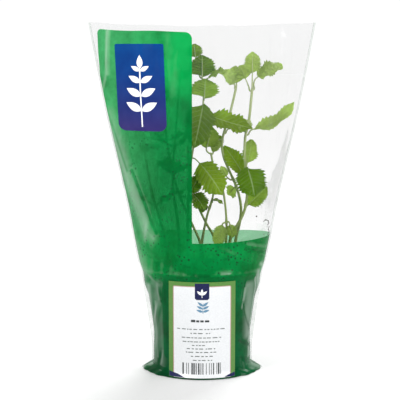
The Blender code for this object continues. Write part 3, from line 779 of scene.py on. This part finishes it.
def stroke(points, width):
    """A thin line of ink through some points."""
    found = []
    for (x0, z0), (x1, z1) in zip(points, points[1:]):
        run = Vector((x1 - x0, z1 - z0)).normalized() * width / 2
        right = [(x0 + run.y, z0 - run.x), (x1 + run.y, z1 - run.x)]
        left = [(x1 - run.y, z1 + run.x), (x0 - run.y, z0 + run.x)]
        found.append(right + left)
    return found


print("a leaf outline has", len(leaf_outline(0, 0, 90, 10, 4)), "corners")

# %% text bars and upright bars
TEXT_ROWS = (  # height, left end, right end, how much of the row is ink
    (45.6, -21.5, 21.5, 0.62), (41.9, -10.0, 7.0, 0.6), (37.8, -17.5, 16.5, 0.7), (34.1, -16.8, 15.0, 0.75),
    (30.8, -8.8, 4.5, 0.6), (27.6, -13.2, 11.4, 0.62), (24.4, -14.0, 12.3, 0.66), (20.7, -9.6, 10.4, 0.6),
    (17.1, -8.0, 8.8, 0.62),
)
BAR_HALF = 0.42
dice = random.Random(12)
rows = []
for height, left, right, share in TEXT_ROWS:
    at = left
    while at < right - 0.8:
        long = dice.uniform(1.2, 4.2)
        rows.append(bar(at, height - BAR_HALF, min(at + long, right), height + BAR_HALF))
        at += long + long * (1 - share) / share * dice.uniform(0.4, 0.9) + 0.35
text_grey = flat_ink("text", "grey_text_ink", "#6E7471")
text_dark = flat_ink("dark", "black_text_ink", "#3B3F40")
uprights = []
at = -17.0
while at < 17.5:
    thick = dice.choice((0.45, 0.45, 0.8, 1.2))
    uprights.append(bar(at, 4.5, at + thick, 14.6))
    at += thick + dice.choice((0.5, 0.8, 1.3, 2.2))
heading = [bar(-9.5, 52.2, -5.8, 54.4)]
heading += [bar(left, 52.2, right, 54.0) for left, right in ((-5.0, -2.4), (-1.5, 1.4), (2.4, 6.2))]
text_bars = [
    ink_shapes("rows", rows, text_grey, INK_PROUD),
    ink_shapes("bars", uprights + heading, text_dark, INK_PROUD),
]
finished(join("label_text_marks", text_bars), "label_paper")
print(len(rows), "pieces of text bar,", len(uprights), "upright bars")

# %% tab, corners and sprigs on the label
TAB_HALF, TAB_FOOT, TAB_HEAD = 6.2, 72.6, 87.4
tab = [(TAB_HALF * t, TAB_FOOT) for t in np.linspace(-0.76, 0.76, 5)]
tab += [(TAB_HALF, 74.0), (TAB_HALF, TAB_HEAD), (-TAB_HALF, TAB_HEAD), (-TAB_HALF, 74.0)]
left_corner = [(-28.6, 1.7), (-15, 1.7), (-21, 4.2), (-28.6, 5.8)]
right_corner = [(19.5, 1.7), (28.6, 1.7), (28.6, 4.8), (23, 3.4)]
navy = flat_ink("tab", "navy_print_ink", "#161C48")
sprig_blue = flat_ink("sprig", "grey_blue_print_ink", "#5F86A0")
white_ink = flat_ink("white", "white_print_ink", "#F2F4F2")
sprig = stroke([(0.8, 60.0), (0.6, 63), (0.9, 69.6)], 0.45)
for x, z, lift in ((0.7, 61.5, 20), (0.7, 64.2, 28), (0.8, 66.8, 40)):
    sprig += [leaf_outline(x, z, angle, 6.0, 2.2) for angle in (180 - lift, lift)]
pale_sprig = [leaf_outline(0, 77.0, a, 5.6, 2.2) for a in (90, 40, 140)] + stroke([(0, 74.6), (0, 78)], 0.5)
tab_set = [
    ink_shapes("tab", [tab, left_corner, right_corner], navy, INK_PROUD),
    ink_shapes("sprig", sprig, sprig_blue, INK_PROUD),
    ink_shapes("tab_sprig", pale_sprig, white_ink, INK_PROUD + 0.08),
]
finished(join("label_pictures", tab_set), "label_paper")
print("sprigs on the label:", len(sprig), "and", len(pale_sprig), "shapes")

# %% [markdown]
# ## The printed panel on the sleeve
# The sleeve carries a plain blue panel in the green print. It is a sheet of its own, finer than the
# film, a hair above it, so that its edge is sharp: the sheet is a little wider than the panel, and
# clear past the panel's round-cornered edge. A simple white sprig of mint stands in it.

# %% blue ink
blue_ink, tree, place = new_material("blue_flexographic_ink")
axes = add_node(tree, "SeparateXYZ", {"Vector": place})
up = add_node(tree, "MapRange", {"Value": (axes, "Z"), "From Min": 0.215, "From Max": 0.297})
fade = add_node(
    tree, "ValToRGB", {"Fac": up},
    stops=[(0.0, "#3A2F6A"), (0.3, "#233272"), (0.65, "#0E3C80"), (1.0, "#064486")],
)
cloud = add_node(tree, "TexNoise", {"Vector": place, "Scale": patches(16.7), "Detail": 3.0})
worn = add_node(tree, "ValToRGB", {"Fac": cloud}, stops=[(0.3, "#DCE0EC"), (0.65, "#FFFFFF")])
blue = add_node(tree, "MixRGB", {"Fac": 1.0, "Color1": fade, "Color2": worn}, blend_type="MULTIPLY")
edge = add_node(tree, "Attribute", attribute_name="panel_edge")
shown = add_node(tree, "MapRange", {"Value": (edge, "Fac"), "From Min": -0.1, "From Max": 0.1})
skin = add_node(
    tree, "BsdfPrincipled",
    {"Base Color": blue, "Roughness": 0.24, "Specular IOR Level": 0.08, "Alpha": shown},
)
add_node(tree, "OutputMaterial", {"Surface": skin})

print(blue_ink.name, len(tree.nodes), "nodes")

# %% blue panel and its sprig
PANEL_X, PANEL_Z, PANEL_HALF_WIDTH, PANEL_HALF_HEIGHT = -54.2, 256.5, 21.8, 38.3
ROUND_FOOT, ROUND_HEAD = 7.0, 1.5
LEAN = -0.045
PAST_EDGE = 0.6
emblem = grid("blue_print_panel", 64, 104)
flat = corners(emblem)
u, v = flat[:, 0] * (PANEL_HALF_WIDTH + PAST_EDGE), flat[:, 1] * (PANEL_HALF_HEIGHT + PAST_EDGE)
from_side, from_end = PANEL_HALF_WIDTH - np.abs(u), PANEL_HALF_HEIGHT - np.abs(v)
keep_values(emblem, "panel_edge", cornered(from_side, from_end, np.where(v < 0, ROUND_FOOT, ROUND_HEAD)))
set_corners(emblem, on_film(PANEL_X + u + LEAN * v, PANEL_Z + v, -1, proud=0.1))
modify(emblem, "SOLIDIFY", thickness=0.05 * MM, offset=-1)
emblem.data.materials.append(blue_ink)
finished(emblem, "printed_film")

shapes = stroke([(-52.4, 222), (-53.2, 236), (-54.2, 250), (-54.6, 262), (-54.9, 274)], 1.1)
for z, reach, thick in ((236, 15.5, 7.0), (249, 14.5, 6.6), (261, 12.0, 5.4), (271, 9.0, 4.0)):
    shapes += [leaf_outline(-53.2 + LEAN * (z - 236), z, angle, reach, thick) for angle in (152, 28)]
shapes.append(leaf_outline(-54.9, 273, 92, 12, 5.2))
finished(ink_shapes("white_print_sprig", shapes, white_ink, 0.16), "printed_film")
print("blue panel and", len(shapes), "sprig shapes")

# %% [markdown]
# ## Soil on the film
# Crumbs of wet compost cling to the film near the right seam, with a small crazed crease among them.
# Each is a tiny flat shape laid on the film.

# %% crumbs and crease on the clear film
soil_mark = flat_ink("soil_mark", "dried_compost_smear", "#4A4744")
dice = random.Random(31)
shapes = stroke([(54.6, 137.2), (57.0, 138.6), (59.3, 137.4), (60.0, 134.8), (58.6, 133.2)], 0.7)
shapes += stroke([(60.6, 131.8), (59.2, 129.5), (60.4, 127.4), (59.0, 125.2), (60.2, 122.8)], 0.55)
crumbs = [(48.0, 143.0, 0.75)]
for _ in range(15):
    crumbs.append((dice.uniform(53.0, 60.0), dice.uniform(118.0, 139.0), dice.uniform(0.2, 0.5)))
for x, z, size in crumbs:
    shapes.append([(x + size * math.cos(a), z + size * math.sin(a)) for a in (0.2, 1.4, 2.7, 3.9, 5.2)])
finished(ink_shapes("soil_marks", shapes, soil_mark, 0.16), "printed_film")
print("soil marks:", len(shapes))

# %% [markdown]
# ## The pot
# A thin nursery pot is thermoformed or moulded from black recycled polypropylene: a tapered cup with
# a straight collar, a rolled lip, a few ribs and holes in its floor. It is made from one filled
# circle, extruded and resized ring by ring, from the floor inside, over the lip, to the underside.

# %% turn a pot from rings
def ringed(name, rings, sides):
    """Extrudes a filled circle through (radius, height) rings, in millimetres."""
    radius, height = rings[0]
    bpy.ops.object.select_all(action="DESELECT")
    bpy.ops.mesh.primitive_circle_add(vertices=sides, radius=radius * MM, fill_type="NGON")
    made = bpy.context.object
    made.name = name
    bpy.ops.object.mode_set(mode="EDIT")
    bpy.ops.mesh.select_all(action="SELECT")
    bpy.ops.transform.translate(value=(0, 0, height * MM))
    for (before, low), (after, high) in zip(rings, rings[1:]):
        bpy.ops.mesh.extrude_region_move(TRANSFORM_OT_translate={"value": (0, 0, (high - low) * MM)})
        wider = after / before
        bpy.ops.transform.resize(value=(wider, wider, 1), center_override=(0, 0, high * MM))
    bpy.ops.object.mode_set(mode="OBJECT")
    face_out(made)
    return made


SIDES = 96
pot = ringed(
    "nursery_pot",
    [  # from the floor inside, up the wall, over the lip, and down outside
        (39.0, 3.2), (39.6, 3.4), (40.0, 4.2), (46.1, 82.2), (46.8, 83.4), (50.8, 84.2), (51.3, 85.0),
        (51.3, 92.6), (51.7, 93.0), (52.2, 92.9), (52.5, 92.5), (52.5, 91.6), (52.1, 91.3), (52.1, 84.2),
        (52.4, 83.8), (52.4, 83.1), (51.6, 82.8), (47.5, 81.8), (47.0, 76.2), (47.4, 75.8), (47.3, 74.6),
        (46.8, 74.2), (42.1, 20.2), (42.5, 19.8), (42.4, 18.6), (41.9, 18.2), (40.9, 0.9), (40.3, 0.1),
        (39.6, 0.0), (37.2, 0.0), (36.6, 0.4), (36.0, 2.0),
    ],
    SIDES,
)
HOLES, HOLE_RADIUS, HOLE_CIRCLE = 8, 4 * MM, 31 * MM
cutters = []
for index in range(HOLES):
    turn = math.tau * index / HOLES
    centre = (HOLE_CIRCLE * math.cos(turn), HOLE_CIRCLE * math.sin(turn), 2.6 * MM)
    bpy.ops.mesh.primitive_cylinder_add(vertices=24, radius=HOLE_RADIUS, depth=12 * MM, location=centre)
    cutters.append(bpy.context.object)
cutter = join("drain_cutter", cutters)
modify(pot, "BOOLEAN", operation="DIFFERENCE", object=cutter, solver="EXACT")
bpy.data.objects.remove(cutter)
print("pot", [round(v / MM, 1) for v in pot.dimensions], "mm,", len(pot.data.polygons), "faces")

# %% moulded black polypropylene
pot_plastic, tree, place = new_material("moulded_black_polypropylene")
flow = add_node(tree, "Mapping", {"Vector": place, "Scale": (patches(16.7), patches(16.7), patches(71.4))})
streaks = add_node(tree, "TexNoise", {"Vector": flow, "Scale": 1.0, "Detail": 4.0})
tone = add_node(tree, "ValToRGB", {"Fac": streaks}, stops=[(0.3, "#1B1C1E"), (0.75, "#2C2E30")])
dust = add_node(tree, "TexNoise", {"Vector": place, "Scale": patches(2.63), "Detail": 3.0})
dusty = add_node(tree, "MapRange", {"Value": dust, "From Min": 0.56, "From Max": 0.72, "To Max": 0.5})
colour = add_node(tree, "MixRGB", {"Fac": dusty, "Color1": tone, "Color2": "#4A4038"})
rough = add_node(tree, "MapRange", {"Value": streaks, "To Min": 0.36, "To Max": 0.55})
bump = add_node(tree, "Bump", {"Height": dust, "Strength": 0.15, "Distance": 0.0002})
skin = add_node(tree, "BsdfPrincipled", {"Base Color": colour, "Roughness": rough, "Normal": bump})
add_node(tree, "OutputMaterial", {"Surface": skin})
pot.data.materials.clear()
pot.data.materials.append(pot_plastic)
finished(pot, "pot", "pot", angle=35)
print(pot_plastic.name)

# %% [markdown]
# ## The compost
# Peat compost is a crumbly brown fill with chips of bark and a few white grains of perlite. The body is
# ringed like the pot and its top is pushed up and down by noise; the crumbs are one small rough ball,
# copied many times at mixed sizes and sunk halfway into the top.

# %% compost body
fill = [(38.2, 3.8), (39.0, 4.6), (45.5, 79.5), (45.4, 83.2)]
mound = [(r, 83.4 + 2.4 * (1 - r / 46) ** 0.8) for r in range(44, 1, -3)]
compost = ringed("compost", fill + mound, SIDES)
places = corners(compost)
top = places[:, 2] > 82.8 * MM
lift = [noise.fractal(Vector(p) * 110, 0.6, 2.2, 4) for p in places[top]]
places[top, 2] += 1.1 * MM * np.array(lift)
set_corners(compost, places)
print("compost", [round(v / MM, 1) for v in compost.dimensions])

# %% crumbs, chips and grains
CRUMBS = 420  # one in 14 is a chip of bark or a grain of perlite, by turns
dice = random.Random(5)
bpy.ops.object.select_all(action="DESELECT")
bpy.ops.mesh.primitive_ico_sphere_add(subdivisions=1, radius=1.0, location=(0, 0, 0))
crumb = bpy.context.object
crumb_shape = corners(crumb)
groups = {"compost_crumbs": [], "bark_chips": [], "perlite_grains": []}
for index in range(CRUMBS):
    name = "compost_crumbs" if index % 14 else ("perlite_grains" if index % 28 else "bark_chips")
    small, grain = dice.uniform(0.5, 1.6), dice.uniform(0.6, 1.1)
    sizes = {"compost_crumbs": small, "bark_chips": 2.2, "perlite_grains": grain}
    turn, far = dice.uniform(0, math.tau), 43.5 * math.sqrt(dice.random())
    stretch = np.array([dice.uniform(0.6, 1.5), dice.uniform(0.6, 1.3), dice.uniform(0.45, 0.9)])
    spot = np.array((far * math.cos(turn), far * math.sin(turn), 83.6 + 2.2 * (1 - far / 46)))
    rough = np.array([1 + 0.25 * noise.noise(Vector(p) * 2 + Vector((index, 0, 0))) for p in crumb_shape])
    copy = own_copy(crumb)
    set_corners(copy, MM * (spot + sizes[name] * stretch * crumb_shape * rough[:, None]))
    groups[name].append(copy)
bpy.data.objects.remove(crumb)
print({name: len(found) for name, found in groups.items()})

# %% compost finishes
def earthy(name, dark, light, grit, roughness):
    """Two tones in grains of a size in millimetres, rough to match."""
    made, tree, place = new_material(name)
    grain = add_node(tree, "TexNoise", {"Vector": place, "Scale": patches(grit), "Detail": 6.0})
    tone = add_node(tree, "ValToRGB", {"Fac": grain}, stops=[(0.3, dark), (0.72, light)])
    bump = add_node(tree, "Bump", {"Height": grain, "Strength": 0.7, "Distance": 0.0008})
    skin = add_node(tree, "BsdfPrincipled", {"Base Color": tone, "Roughness": roughness, "Normal": bump})
    add_node(tree, "OutputMaterial", {"Surface": skin})
    return made


compost.data.materials.append(earthy("damp_peat_compost", "#20160F", "#513B2A", 2.38, 0.9))
finished(compost, "compost", "soil")
for name, finish in (
    ("compost_crumbs", earthy("peat_crumb", "#2A1D14", "#5C4531", 1.667, 0.95)),
    ("bark_chips", earthy("bark_chip", "#5A3B25", "#8A6543", 2, 0.8)),
    ("perlite_grains", earthy("expanded_perlite", "#C9C6BD", "#F1EFE8", 1.429, 0.7)),
):
    heap = join(name, groups[name])
    heap.data.materials.append(finish)
    finished(heap, "compost")
print("compost finished")

# %% [markdown]
# ## Reading the stems and leaves
# The plain stems and leaves already stand in the right places, each as a run of rings from foot to
# tip: four corners a ring on a stem, six on a leaf. Walking from the end nearest the stem, from
# neighbour to neighbour, gives the rings back in order, and the fine shapes are laid along them.

# %% rings of a plain solid
SAME_CORNER = 0.002 * MM  # a CAD mesh is loose triangles, whose corners are this near or nearer
STARTS = 12  # corners near the end that are tried as the first ring's


def walk(first, everything):
    """Layers of neighbours, one ring after another, from a first ring."""
    layers, seen = [list(first)], set(first)
    while len(seen) < everything:
        found = {e.other_vert(v) for v in layers[-1] for e in v.link_edges} - seen
        if not found:
            break
        layers.append(list(found))
        seen |= found
    return layers


def read_rings(node, size, from_stem):
    """Rings of corners from the end where from_stem is least. The node's own mesh isn't touched."""
    solid = bmesh.new()
    solid.from_mesh(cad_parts[node].data)
    bmesh.ops.remove_doubles(solid, verts=solid.verts, dist=SAME_CORNER)
    order = sorted(solid.verts, key=lambda v: from_stem(v.co))
    best = None
    for start in order[:STARTS]:
        near = sorted(solid.verts, key=lambda v: (v.co - start.co).length)[: size + 3]
        for skip in [(), *itertools.product(range(len(near)), repeat=2)]:
            ring = [v for i, v in enumerate(near) if i not in skip][:size]
            layers = walk(ring, len(solid.verts))
            if all(len(layer) == size for layer in layers) and len(layers) * size == len(solid.verts):
                best = layers
                break
        if best:
            break
    found = [np.array([v.co[:] for v in ring]) for ring in best] if best else None
    solid.free()
    return found


stem_rings = {n: read_rings(n, 4, lambda co: co.z) for n in sorted(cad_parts) if n.startswith("stem")}
stem_lines = {n: np.array([ring.mean(0) for ring in rings]) for n, rings in stem_rings.items()}


def from_line(line, point):
    """The nearest point of a line to a point, and how far it is."""
    a, run = line[:-1], line[1:] - line[:-1]
    share = np.clip(((point - a) * run).sum(1) / (run * run).sum(1), 0, 1)
    near = a + run * share[:, None]
    away = np.linalg.norm(near - point, axis=1)
    return near[away.argmin()], away.min()


leaf_rings = {}
for node in sorted(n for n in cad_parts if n.startswith("leaf")):
    line = stem_lines["stem_" + node.split("_")[1]]
    leaf_rings[node] = read_rings(node, 6, lambda co: from_line(line, np.array(co))[1])
missing = [n for n, rings in leaf_rings.items() if rings is None]
print(len(stem_rings), "stems,", len(leaf_rings), "leaves; not read:", missing)

# %% [markdown]
# ## Stems
# Mint has square stems, which is how its family is told: pale green, with small swollen joints where
# each pair of leaves stands. A stem is a curve through the middles of the rings, with a rounded
# square for its section and a radius at each point, turned into a mesh.

# %% section and tube
def smooth_line(points, count):
    """Even points along a smooth curve through some points."""
    points = np.asarray(points, float)
    far = np.concatenate(([0], np.cumsum(np.linalg.norm(np.diff(points, axis=0), axis=1))))
    slopes = np.gradient(points, far, axis=0)
    at = np.linspace(0, far[-1], count)
    i = np.clip(np.searchsorted(far, at) - 1, 0, len(far) - 2)
    step = (far[i + 1] - far[i])[:, None]
    t = ((at - far[i]) / step[:, 0])[:, None]
    return smooth_between(t, step, points[i], points[i + 1], slopes[i], slopes[i + 1])


def section_curve(name, corner, steps):
    """A closed outline of radius 1, from round (corner 1) to square (corner 0)."""
    curve = bpy.data.curves.new(name, "CURVE")
    curve.dimensions = "2D"
    spline = curve.splines.new("POLY")
    spline.use_cyclic_u = True
    spline.points.add(steps - 1)
    for i, point in enumerate(spline.points):
        turn = math.tau * i / steps
        power = 2 / (2 + 4 * (1 - corner))
        c, s = math.cos(turn), math.sin(turn)
        point.co = (math.copysign(abs(c) ** power, c), math.copysign(abs(s) ** power, s), 0, 1)
    return new_object(name, curve)


square_section = section_curve("square_section", 0.45, 12)
round_section = section_curve("round_section", 1.0, 8)


def tube(name, line, radii, section):
    """A mesh tube along a line, with a radius at each point."""
    curve = bpy.data.curves.new(name, "CURVE")
    curve.dimensions = "3D"
    curve.bevel_mode = "OBJECT"
    curve.bevel_object = section
    curve.use_fill_caps = True
    curve.twist_mode = "MINIMUM"
    spline = curve.splines.new("POLY")
    spline.points.add(len(line) - 1)
    for point, place, radius in zip(spline.points, line, radii):
        point.co = (*place, 1)
        point.radius = radius
    only(new_object(name, curve))
    bpy.ops.object.convert(target="MESH")
    made = bpy.context.object
    made.name = name
    face_out(made, merge=SAME_CORNER)
    return made


print("sections ready")

# %% stem and vein finishes
stem_skin, tree, place = new_material("mint_stem_skin")
axes = add_node(tree, "SeparateXYZ", {"Vector": place})
lengthways = add_node(tree, "Mapping", {"Vector": place, "Scale": (patches(2), patches(2), patches(25))})
fibres = add_node(tree, "TexNoise", {"Vector": lengthways, "Scale": 1.0, "Detail": 3.0})
low = add_node(tree, "ValToRGB", {"Fac": fibres}, stops=[(0.3, "#7E8E4A"), (0.72, "#9CAE66")])
high = add_node(tree, "ValToRGB", {"Fac": fibres}, stops=[(0.3, "#A6B47C"), (0.72, "#C4CEA0")])
height = add_node(tree, "MapRange", {"Value": (axes, "Z"), "From Min": 0.15, "From Max": 0.25})
tone = add_node(tree, "MixRGB", {"Fac": height, "Color1": low, "Color2": high})
skin = add_node(tree, "BsdfPrincipled", {"Base Color": tone, "Roughness": 0.5})
glow = add_node(tree, "BsdfTranslucent", {"Color": "#B9CF84"})
both = add_node(tree, "MixShader", {"Fac": 0.2, 1: skin, 2: glow})
add_node(tree, "OutputMaterial", {"Surface": both})

# %% stems
STEM_SHARE = 0.86  # of the plain stem's radius, measured to its corners
TIP_SHARE = 0.56  # of that again, at the tip
JOINT_SWELL, JOINT_REACH = 0.38, 2.2 * MM
for node, rings in stem_rings.items():
    count = 6 * len(rings)
    line = smooth_line(stem_lines[node], count)
    foot, tip = (np.linalg.norm(rings[i] - rings[i].mean(0), axis=1).mean() * STEM_SHARE for i in (0, -1))
    tip *= TIP_SHARE
    radii = foot + (tip - foot) * np.linspace(0, 1, count)
    for leaf, found in leaf_rings.items():
        if found is not None and leaf.split("_")[1] == node.split("_")[1]:
            joint, _ = from_line(line, found[0].mean(0))
            away = np.linalg.norm(line - joint, axis=1)
            there = foot + (tip - foot) * (away.argmin() / count)
            radii = np.maximum(radii, there * (1 + JOINT_SWELL * np.exp(-((away / JOINT_REACH) ** 2))))
    stem = tube(node.replace("stem", "mint_stem"), line, radii, square_section)
    stem.data.materials.append(stem_skin)
    finished(stem, "mint_stem", node)
print("stems:", len(stem_rings))

# %% [markdown]
# ## Leaves
# A mint leaf is an oval with a toothed edge, a sunken midrib and sunken side veins, so that the blade
# swells up between them like a quilt. One blade is modelled once as a flat grid with those teeth and
# that quilting, given its thickness, and then copied: each copy is laid across one plain leaf's
# rings. Its stalk is a tube that runs on under the blade as the rib.

# %% one blade
VEINS = 8.0  # on each side of the midrib
VEIN_SLANT = 1.7
TEETH = 11
blade = grid("blade_pattern", 16, 60)
flat = corners(blade)
u, v = flat[:, 0].copy(), (flat[:, 1] + 1) / 2
between_veins = np.abs(np.sin(np.pi * (VEINS * v - VEIN_SLANT * np.abs(u)))) ** 0.8
swell = between_veins * (1 - np.abs(u) ** 4) * np.sin(np.pi * np.clip(v, 0.02, 0.98)) ** 0.4
groove = np.exp(-((u / 0.09) ** 2)) * (1 - 0.6 * v)
tooth = (v * TEETH) % 1.0
reach = 1 + 0.3 * (tooth ** 0.8 - 0.5) * np.abs(u) ** 4 * np.sin(np.pi * np.clip(v * 1.02, 0, 1)) ** 0.3
relief = 0.75 * swell - 0.55 * groove
flat[:, 0] = u * reach
flat[:, 1] = v
flat[:, 2] = relief * MM
set_corners(blade, flat)
modify(blade, "SOLIDIFY", thickness=0.32 * MM, offset=0)
blade_shape = corners(blade)
print("blade pattern:", len(blade.data.polygons), "faces")

# %% leaf finish
leaf_skin, tree, place = new_material("mint_leaf_blade")
own = add_node(tree, "SeparateXYZ", {"Vector": (place[0], "UV")})
centred = add_node(tree, "Math", {0: (own, "X"), 1: 2.0, 2: -1.0}, operation="MULTIPLY_ADD")
side = add_node(tree, "Math", {0: centred}, operation="ABSOLUTE")
slanted = add_node(tree, "Math", {0: side, 1: VEIN_SLANT * math.pi}, operation="MULTIPLY")
phase = add_node(tree, "Math", {0: (own, "Y"), 1: VEINS * math.pi}, operation="MULTIPLY")
phase = add_node(tree, "Math", {0: phase, 1: slanted}, operation="SUBTRACT")
wave = add_node(tree, "Math", {0: phase}, operation="SINE")
wave = add_node(tree, "Math", {0: wave}, operation="ABSOLUTE")
vein = add_node(tree, "MapRange", {"Value": wave, "From Min": 0.24, "From Max": 0.06, "To Max": 0.55})
ribbed = add_node(tree, "MapRange", {"Value": side, "From Min": 0.07, "From Max": 0.03})
veins = add_node(tree, "Math", {0: vein, 1: ribbed}, operation="MAXIMUM")
# How pale a leaf is: partly its age, and partly painted light, paler where it is lit from behind; it also
# sets how much light the leaf lets through.
age_and_backlight = add_node(tree, "Attribute", attribute_name="paleness")
blade_tone = add_node(
    tree, "ValToRGB", {"Fac": (age_and_backlight, "Fac")},
    stops=[(0.0, "#649008"), (0.5, "#9CBA34"), (1.0, "#D2E69C")],
)
lit_through = add_node(
    tree, "ValToRGB", {"Fac": (age_and_backlight, "Fac")},
    stops=[(0.0, "#8CC000"), (0.5, "#B8DC38"), (1.0, "#E4F4A8")],
)
variety = add_node(tree, "TexNoise", {"Vector": place, "Scale": patches(29.4), "Detail": 1.0})
variety = add_node(tree, "ValToRGB", {"Fac": variety}, stops=[(0.36, "#B4B890"), (0.60, "#FFFFFF")])
blade_tone = add_node(
    tree, "MixRGB", {"Fac": 0.6, "Color1": blade_tone, "Color2": variety}, blend_type="MULTIPLY",
)
mottle = add_node(tree, "TexNoise", {"Vector": place, "Scale": patches(2.38), "Detail": 4.0})
mottled = add_node(tree, "ValToRGB", {"Fac": mottle}, stops=[(0.3, "#D5DAC8"), (0.7, "#FFFFFF")])
blade_tone = add_node(
    tree, "MixRGB", {"Fac": 1.0, "Color1": blade_tone, "Color2": mottled}, blend_type="MULTIPLY",
)
veined = add_node(tree, "MixRGB", {"Fac": 0.45, "Color1": blade_tone, "Color2": "#D4E4A8"})
colour = add_node(tree, "MixRGB", {"Fac": veins, "Color1": blade_tone, "Color2": veined})
net = add_node(tree, "TexVoronoi", {"Vector": place, "Scale": patches(1.111)})
bump = add_node(tree, "Bump", {"Height": net, "Strength": 0.35, "Distance": 0.0003})
skin = add_node(
    tree, "BsdfPrincipled",
    {"Base Color": colour, "Roughness": 0.42, "Specular IOR Level": 0.07, "Normal": bump},
)
through = add_node(tree, "MixRGB", {"Fac": 0.5, "Color1": colour, "Color2": lit_through})
glow = add_node(tree, "BsdfTranslucent", {"Color": through, "Normal": bump})
share = add_node(tree, "MapRange", {"Value": (age_and_backlight, "Fac"), "To Min": 0.36, "To Max": 0.66})
both = add_node(tree, "MixShader", {"Fac": share, 1: skin, 2: glow})
add_node(tree, "OutputMaterial", {"Surface": both})
print(leaf_skin.name, len(tree.nodes), "nodes")

# %% lay a blade on each plain leaf
STALK_RINGS = 3
PLAIN_FULLNESS = 1.12
FULLNESS = {  # how much wider than its plain solid a leaf is
    "leaf_1_round": 1.0, "leaf_1_right": 1.4, "leaf_1_side": 1.5, "leaf_4_right": 1.5, "leaf_5_large": 1.02,
    "leaf_5_upper": 1.25, "leaf_6_crown": 1.35, "leaf_6_front": 1.25, "leaf_6_right": 1.6, "leaf_6_tip": 1.5,
}
PALENESS = {  # from 0, a dark leaf, to 1, a pale one: partly its age, partly painted light on leaves lit from behind
    "leaf_1_round": 0.0, "leaf_1_pale": 0.5, "leaf_1_low": 0.55, "leaf_1_side": 0.7, "leaf_4_low_left": 0.2,
    "leaf_4_left": 0.6, "leaf_5_low": 0.15, "leaf_5_large": 0.45, "leaf_5_upper": 0.5, "leaf_6_crown": 0.12,
    "leaf_6_large": 0.16, "leaf_6_tip": 0.4, "leaf_6_front": 0.6, "leaf_6_right": 0.6, "leaf_7_inner": 0.1,
}
# Stems whose leaves are pale unless listed: partly young growth, partly painted backlight.
PALE_LEAVED_STEMS = "1236"


def paleness(node):
    return PALENESS.get(node, 0.9 if node.split("_")[1] in PALE_LEAVED_STEMS else 0.4)


def edges_and_middle(rings):
    """Left edge, middle and right edge of each ring, with the edges kept on their own sides."""
    found, before = [], None
    for ring in rings:
        middle = ring.mean(0)
        across = np.linalg.svd(ring - middle)[2][0]
        if before is not None and across @ before < 0:
            across = -across
        before = across
        order = ring[np.argsort((ring - middle) @ across)]
        found.append([order[:2].mean(0), order[2:4].mean(0), order[4:].mean(0)])
    return np.array(found)


def read_off(at, known, values):
    """Points at some shares of a line that is known at others."""
    return np.stack([np.interp(at, known, values[:, axis]) for axis in range(3)], -1)


def lay_blade(node, rings):
    """Where the blade's corners go, with the middle of the leaf and the way it faces along it."""
    lines = edges_and_middle(rings)[STALK_RINGS:]
    steps = np.linspace(0, 1, len(lines))
    fine = np.linspace(0, 1, 61)
    run = [read_off(fine, steps, lines[:, side]) for side in range(3)]
    for _ in range(3):
        run = [np.vstack((r[:1], (r[:-2] + 2 * r[1:-1] + r[2:]) / 4, r[-1:])) for r in run]
    left, middle, right = run
    full = FULLNESS.get(node, PLAIN_FULLNESS) * (1 + 0.3 * smoothstep(0.5, 0.85, fine))
    half, bow = (right - left) / 2 * full[:, None], (left + right) / 2 - middle
    tangent = np.gradient(middle, axis=0)
    normal = np.cross(half, tangent)
    if normal[20:40, 2].sum() < 0:
        normal, half = -normal, -half
    normal /= np.linalg.norm(normal, axis=1)[:, None] + 1e-12
    u, v, lift = blade_shape[:, 0], np.clip(blade_shape[:, 1], 0, 1), blade_shape[:, 2]
    dice = random.Random(node)
    widest = np.linalg.norm(half, axis=1).max()
    size = widest / (9 * MM)
    turns, start = dice.uniform(1.6, 2.8), dice.uniform(0, 1)
    ruffle = 0.16 * widest * np.abs(u) ** 2.2 * np.sin(math.tau * (turns * v + start + 0.22 * np.sign(u)))
    curl = 0.14 * widest * dice.uniform(-1, 1) * smoothstep(0.5, 1.0, v) ** 2
    solid = np.where(np.abs(lift) < 0.00017, 1.0, np.clip(size, 0.35, 1.15))
    off = lift * solid + ruffle + curl
    spine, across, bend, up = (read_off(v, fine, values) for values in (middle, half, bow, normal))
    places = spine + u[:, None] * across + (u * u)[:, None] * bend + off[:, None] * up
    return places, middle, normal


RIB_BELOW, RIB_POINTS, STALK_RADIUS = 0.55 * MM, 34, 0.78 * MM
laid = 0
for node, rings in leaf_rings.items():
    if rings is None:
        continue
    places, middle, normal = lay_blade(node, rings)
    copy = own_copy(blade)
    set_corners(copy, places)
    face_out(copy)
    copy.data.materials.append(leaf_skin)
    keep_values(copy, "paleness", np.full(len(places), paleness(node)))
    stalk = np.array([ring.mean(0) for ring in rings[:STALK_RINGS]])
    joint, _ = from_line(stem_lines["stem_" + node.split("_")[1]], stalk[0])
    under = middle[2:50:6] - normal[2:50:6] * RIB_BELOW
    line = smooth_line(np.vstack((joint + (stalk[0] - joint) * 0.3, stalk, under)), RIB_POINTS)
    thick = STALK_RADIUS * np.interp(np.linspace(0, 1, RIB_POINTS), (0, 0.25, 1), (1.05, 0.85, 0.28))
    rib = tube("rib", line, thick, round_section)
    rib.data.materials.append(stem_skin)
    leaf = join(node.replace("leaf", "mint_leaf"), [copy, rib])
    finished(leaf, "mint_leaf", node)
    laid += 1
for helper in (blade, square_section, round_section):
    bpy.data.objects.remove(helper)
print("leaves laid:", laid)
